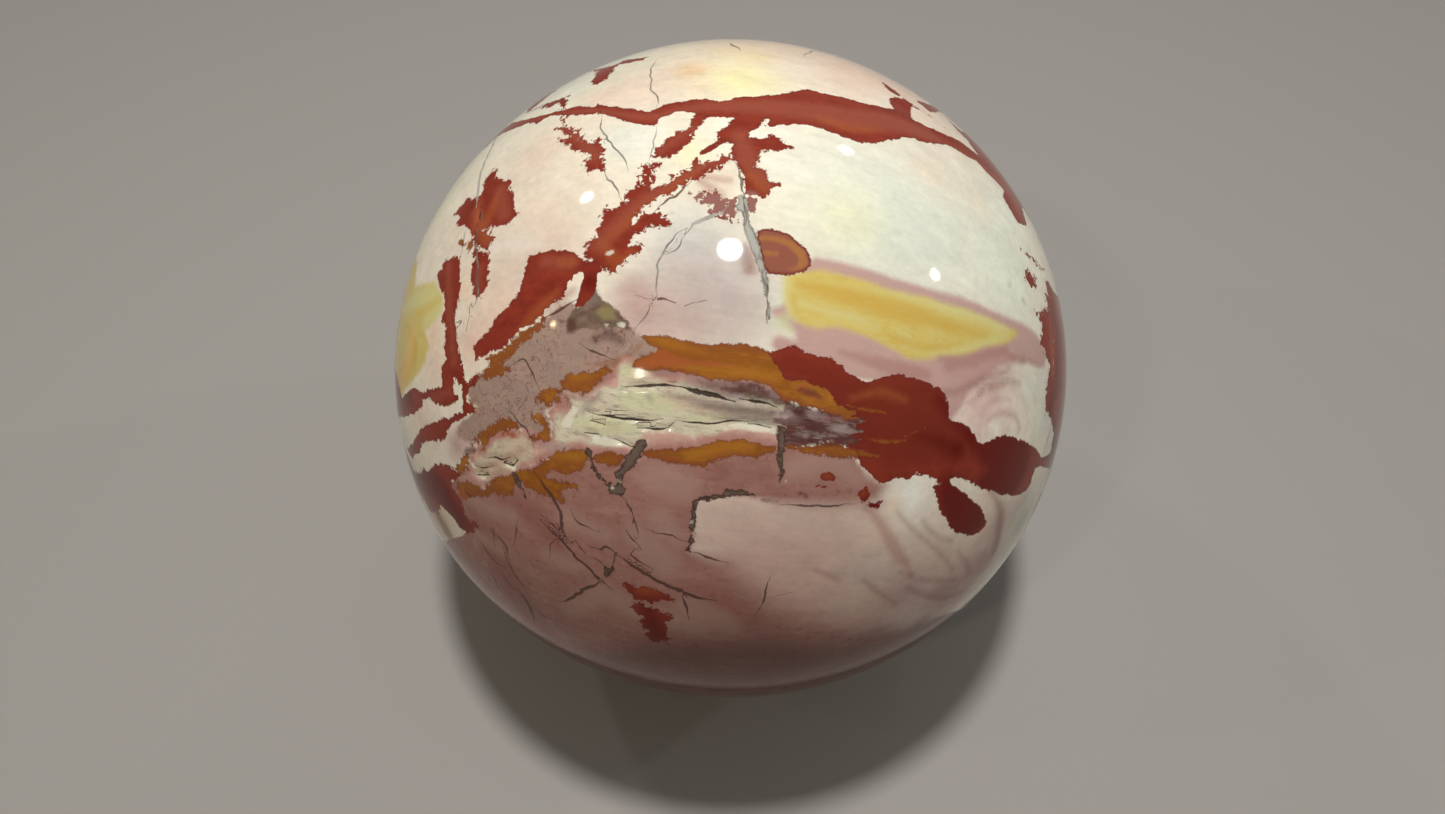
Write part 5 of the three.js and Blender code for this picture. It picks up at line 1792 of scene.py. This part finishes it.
class JasperFinish(bpy.types.PropertyGroup):
    """The stone's colours and polish."""

    brick_red: swatch("Brick red", "Main colour of the red veins and masses", (136, 52, 37))
    # Pale red is partly the stone's lighter red and partly painted sheen on the upper band.
    pale_red_and_sheen: swatch("Pale red", "Lighter red of the upper veins", (160, 88, 68))
    mass_red: swatch("Mass red", "Red of the large mass right of the lens", (116, 42, 28))
    # Deep red is partly the stone's own darker red and partly painted shade low on the stone.
    deep_red_and_shade: swatch("Deep red", "Darkest red, low on the stone", (100, 24, 18))
    red_edge: swatch("Red edge", "Maroon edge of the red markings", (112, 44, 38))
    rust: swatch("Rust", "Lighter places inside the red", (166, 88, 48))
    faded: swatch("Faded red", "Dusty mauve places inside the red", (152, 106, 98))
    ochre: swatch("Ochre", "Main colour of the ochre bands", (146, 88, 32))
    golden: swatch("Golden", "Lightest streaks of the ochre bands", (178, 116, 40))
    ochre_brown: swatch("Ochre brown", "Edges and dark streaks of the ochre bands", (140, 78, 42))
    eye_brown: swatch("Eye brown", "Brick-brown middle of the eye", (146, 88, 70))
    eye_ochre: swatch("Eye ochre", "Ochre rings of the eye", (170, 112, 64))
    yellow: swatch("Yellow", "Soft yellow patches", (212, 190, 108))
    mustard: swatch("Mustard", "Deep streaks in the yellow patches", (204, 164, 72))
    lemon: swatch("Lemon", "Pale greenish streaks in the yellow patches", (214, 206, 142))
    amber: swatch("Amber", "Warm places in the yellow patches", (236, 190, 112))
    rim: swatch("Rim", "Mauve border of the yellow patches", (188, 144, 136))
    mauve: swatch("Mauve", "Brown-mauve ground under the lens", (162, 116, 104))
    rosewood: swatch("Rosewood", "Redder places in the mauve ground", (140, 80, 70))
    putty: swatch("Putty", "Paler places in the mauve ground", (178, 144, 130))
    milk: swatch("Milk", "Whitest veils of the ground", (246, 242, 228))
    blush: swatch("Blush", "Pinkest veils of the ground", (218, 170, 152))
    pink: swatch("Pink", "Pale pink strips beside the bark", (206, 164, 148))
    rose: swatch("Rose", "Rose streaks of the ground", (166, 112, 102))
    ember: swatch("Ember", "Thin brown-orange streaks of the ground", (146, 92, 60))
    brown: swatch("Brown", "Thin brown streaks of the ground", (140, 94, 86))
    breccia: swatch("Breccia", "Grey-brown ground of the ochre chain", (168, 140, 124))
    wedge: swatch("Wedge", "Brown-grey wedge above the lens", (120, 98, 82))
    olive: swatch("Olive", "Olive place in the wedge", (146, 130, 86))
    bark: swatch("Bark", "Pale weathered bark", (216, 204, 174))
    bark_green: swatch("Bark green", "Grey-green weathered bark", (204, 200, 176))
    green: swatch("Green", "Greenest stains of the bark", (206, 208, 158))
    sand: swatch("Sand", "Warm beige places in the bark", (200, 172, 144))
    lilac: swatch("Lilac", "Pale lilac spots", (176, 156, 150))
    slate: swatch("Slate", "Lilac-grey stains", (138, 118, 112))
    chalk: swatch("Chalk", "Whitest spots", (234, 226, 204))
    maroon: swatch("Maroon", "Dark maroon stains", (88, 48, 42))
    # Umber is also the colour of the painted shade low on the front of the stone.
    umber: swatch("Umber", "Darkest shades of the mauve ground", (78, 48, 44))
    vein_grey: swatch("Vein grey", "Grey veins and cracks", (170, 168, 158))
    vein_brown: swatch("Vein brown", "Brown veins and cracks", (76, 56, 48))
    vein_olive: swatch("Vein olive", "Grey-brown middle of the dark veins", (108, 90, 78))
    fissure: swatch("Fissure", "Bottom of the fissures", (56, 42, 34))
    polish: amount("Polish", "Roughness of the polished surface", 0.06, max=1, subtype="FACTOR")


class JasperStudio(bpy.types.PropertyGroup):
    """The floor, the lamps and the sky round the stone."""

    floor_colour: swatch("Floor", "Colour of the pale floor", (158, 153, 147))
    floor_size: amount("Floor size", "Width of the floor", 6, 1, unit="LENGTH")
    lamp_height: amount("Lamp height", "Height of the lamp above the floor", 0.65, 0.2, unit="LENGTH")
    lamp_size: amount("Lamp size", "Diameter of the lamp", 0.064, 0.01, unit="LENGTH")
    lamp_power: amount("Lamp power", "Power of the lamp", 2.75, unit="POWER")
    sky: amount("Sky", "Brightness of the light from all round", 0.06)
    soft_light: amount("Soft light", "Brightness of the soft light from the right and behind", 0.205)
    front_light: amount("Front light", "Brightness of the soft light from low in front", 0.08)
    left_light: amount("Left light", "Brightness of the soft light from the left", 0.02)


class JASPER_OT_stone(bpy.types.Operator):
    """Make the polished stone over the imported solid"""

    bl_idname = "jasper.stone"
    bl_label = "Polished Stone"

    def execute(self, context):
        stone = make_stone()
        stone.data.materials.append(stone_material(context.scene.jasper_finish))
        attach(stone, "root")
        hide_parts(NODE)
        return {"FINISHED"}


def add_lamp(name, place, target, size, power, colour=(1, 1, 1)):
    """A round lamp at a place, turned towards another."""
    light = bpy.data.lights.new(name, "AREA")
    light.shape = "DISK"
    light.size = size
    light.energy = power
    light.color = colour
    lamp = bpy.data.objects.new(name, light)
    lamp.location = place
    lamp.rotation_euler = (Vector(target) - Vector(place)).to_track_quat("-Z", "Y").to_euler()
    bpy.context.scene.collection.objects.link(lamp)


def spark_place(pixel):
    """Where a lamp has to be for its reflection to show at a pixel, and the place that it shines on: the line
    of sight is turned back at the stone's surface there."""
    direction = from_photo([pixel])[0]
    point = Vector(direction * stone_radius(direction[None])[0]) * MM
    level = Vector((1, 1, 1 / HEIGHT_TO_WIDTH**2))
    upright = (point * level).normalized()
    sight = (BACKWARDS * CAMERA_DISTANCE * HALF_WIDTH * MM - point).normalized()
    point = point + Vector((0, 0, CENTRE_HEIGHT * MM))
    return point + (upright * 2 * sight.dot(upright) - sight) * SPARK_DISTANCE, point


def make_floor(studio):
    """A plain square floor about the origin."""
    half = studio.floor_size / 2
    mesh = bpy.data.meshes.new("floor")
    mesh.from_pydata([(-half, -half, 0), (half, -half, 0), (half, half, 0), (-half, half, 0)], [],
                     [(0, 1, 2, 3)])
    floor = bpy.data.objects.new("floor", mesh)
    bpy.context.scene.collection.objects.link(floor)
    material = bpy.data.materials.new("floor")
    material.use_nodes = True
    material.node_tree.nodes.clear()
    nodes = Nodes(material.node_tree)
    sockets = {"Base Color": (*studio.floor_colour, 1), "Roughness": FLOOR_ROUGHNESS}
    shader = nodes.add("BsdfPrincipled", sockets)
    nodes.add("OutputMaterial", {"Surface": shader})
    mesh.materials.append(material)
    floor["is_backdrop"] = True


def make_sky(studio):
    """A soft sky: an even light, and three more that are each brightest in one direction and fade out towards
    every direction square to it."""
    world = bpy.data.worlds.new("sky")
    world.use_nodes = True
    world.node_tree.nodes.clear()
    nodes = Nodes(world.node_tree)
    direction = nodes.add("TexCoord", output="Generated")
    strength = studio.sky
    lights = {
        SOFT_LIGHT: studio.soft_light,
        FRONT_LIGHT: studio.front_light,
        LEFT_LIGHT: studio.left_light,
    }
    for place, brightness in lights.items():
        sockets = {0: direction, 1: place}
        towards = nodes.add("VectorMath", sockets, output="Value", operation="DOT_PRODUCT")
        strength = towards.smooth(0.0, 1.0) * brightness + strength
    sky = nodes.add("Background", {"Color": SKY_COLOUR, "Strength": strength})
    nodes.add("OutputWorld", {"Surface": sky})
    return world


def make_camera(middle):
    """A camera that sees the stone as the photograph shows it."""
    camera = bpy.data.cameras.new("camera")
    camera.lens = LENS
    camera.sensor_width = SENSOR_WIDTH
    camera.clip_start = CLIP_START
    viewer = bpy.data.objects.new("camera", camera)
    place = middle + BACKWARDS * CAMERA_DISTANCE * HALF_WIDTH * MM
    viewer.matrix_world = Matrix.Translation(place) @ VIEW.to_4x4()
    bpy.context.scene.collection.objects.link(viewer)
    return viewer


class JASPER_OT_studio(bpy.types.Operator):
    """Make the pale floor, the lamps, the soft sky and the camera"""

    bl_idname = "jasper.studio"
    bl_label = "Studio"

    def execute(self, context):
        scene = context.scene
        studio = scene.jasper_studio
        make_floor(studio)
        middle = Vector((0, 0, CENTRE_HEIGHT * MM))
        add_lamp("key", (0, 0, studio.lamp_height), middle, studio.lamp_size, studio.lamp_power)
        for number, (pixel, size, power, colour) in enumerate(SPARKS):
            place, target = spark_place(pixel)
            add_lamp(f"spark_{number}", place, target, size, power, colour)
        scene.world = make_sky(studio)
        scene.view_settings.view_transform = "Standard"
        scene.camera = make_camera(middle)
        return {"FINISHED"}


class JASPER_PT_panel(bpy.types.Panel):
    """Lists what makes the stone and its studio"""

    bl_idname = "JASPER_PT_panel"
    bl_label = "Jasper Sphere"
    bl_space_type = "VIEW_3D"
    bl_region_type = "UI"
    bl_category = "Jasper"

    def draw(self, context):
        layout = self.layout
        for operator in (JASPER_OT_stone, JASPER_OT_studio):
            layout.operator(operator.bl_idname)
        for group in (context.scene.jasper_finish, context.scene.jasper_studio):
            box = layout.box()
            for name in group.__annotations__:
                box.prop(group, name)


CLASSES = (JasperFinish, JasperStudio, JASPER_OT_stone, JASPER_OT_studio, JASPER_PT_panel)


def register():
    for entry in CLASSES:
        bpy.utils.register_class(entry)
    bpy.types.Scene.jasper_finish = bpy.props.PointerProperty(type=JasperFinish)
    bpy.types.Scene.jasper_studio = bpy.props.PointerProperty(type=JasperStudio)


def unregister():
    del bpy.types.Scene.jasper_studio
    del bpy.types.Scene.jasper_finish
    for entry in reversed(CLASSES):
        bpy.utils.unregister_class(entry)


def main():
    register()
    bpy.ops.jasper.stone()
    bpy.ops.jasper.studio()
    sizes = {"cad": CAD_BOUNDS, "visual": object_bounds()}
    {name: [list(corner) for corner in corners] for name, corners in sizes.items()}


if __name__ == "__main__":
    main()
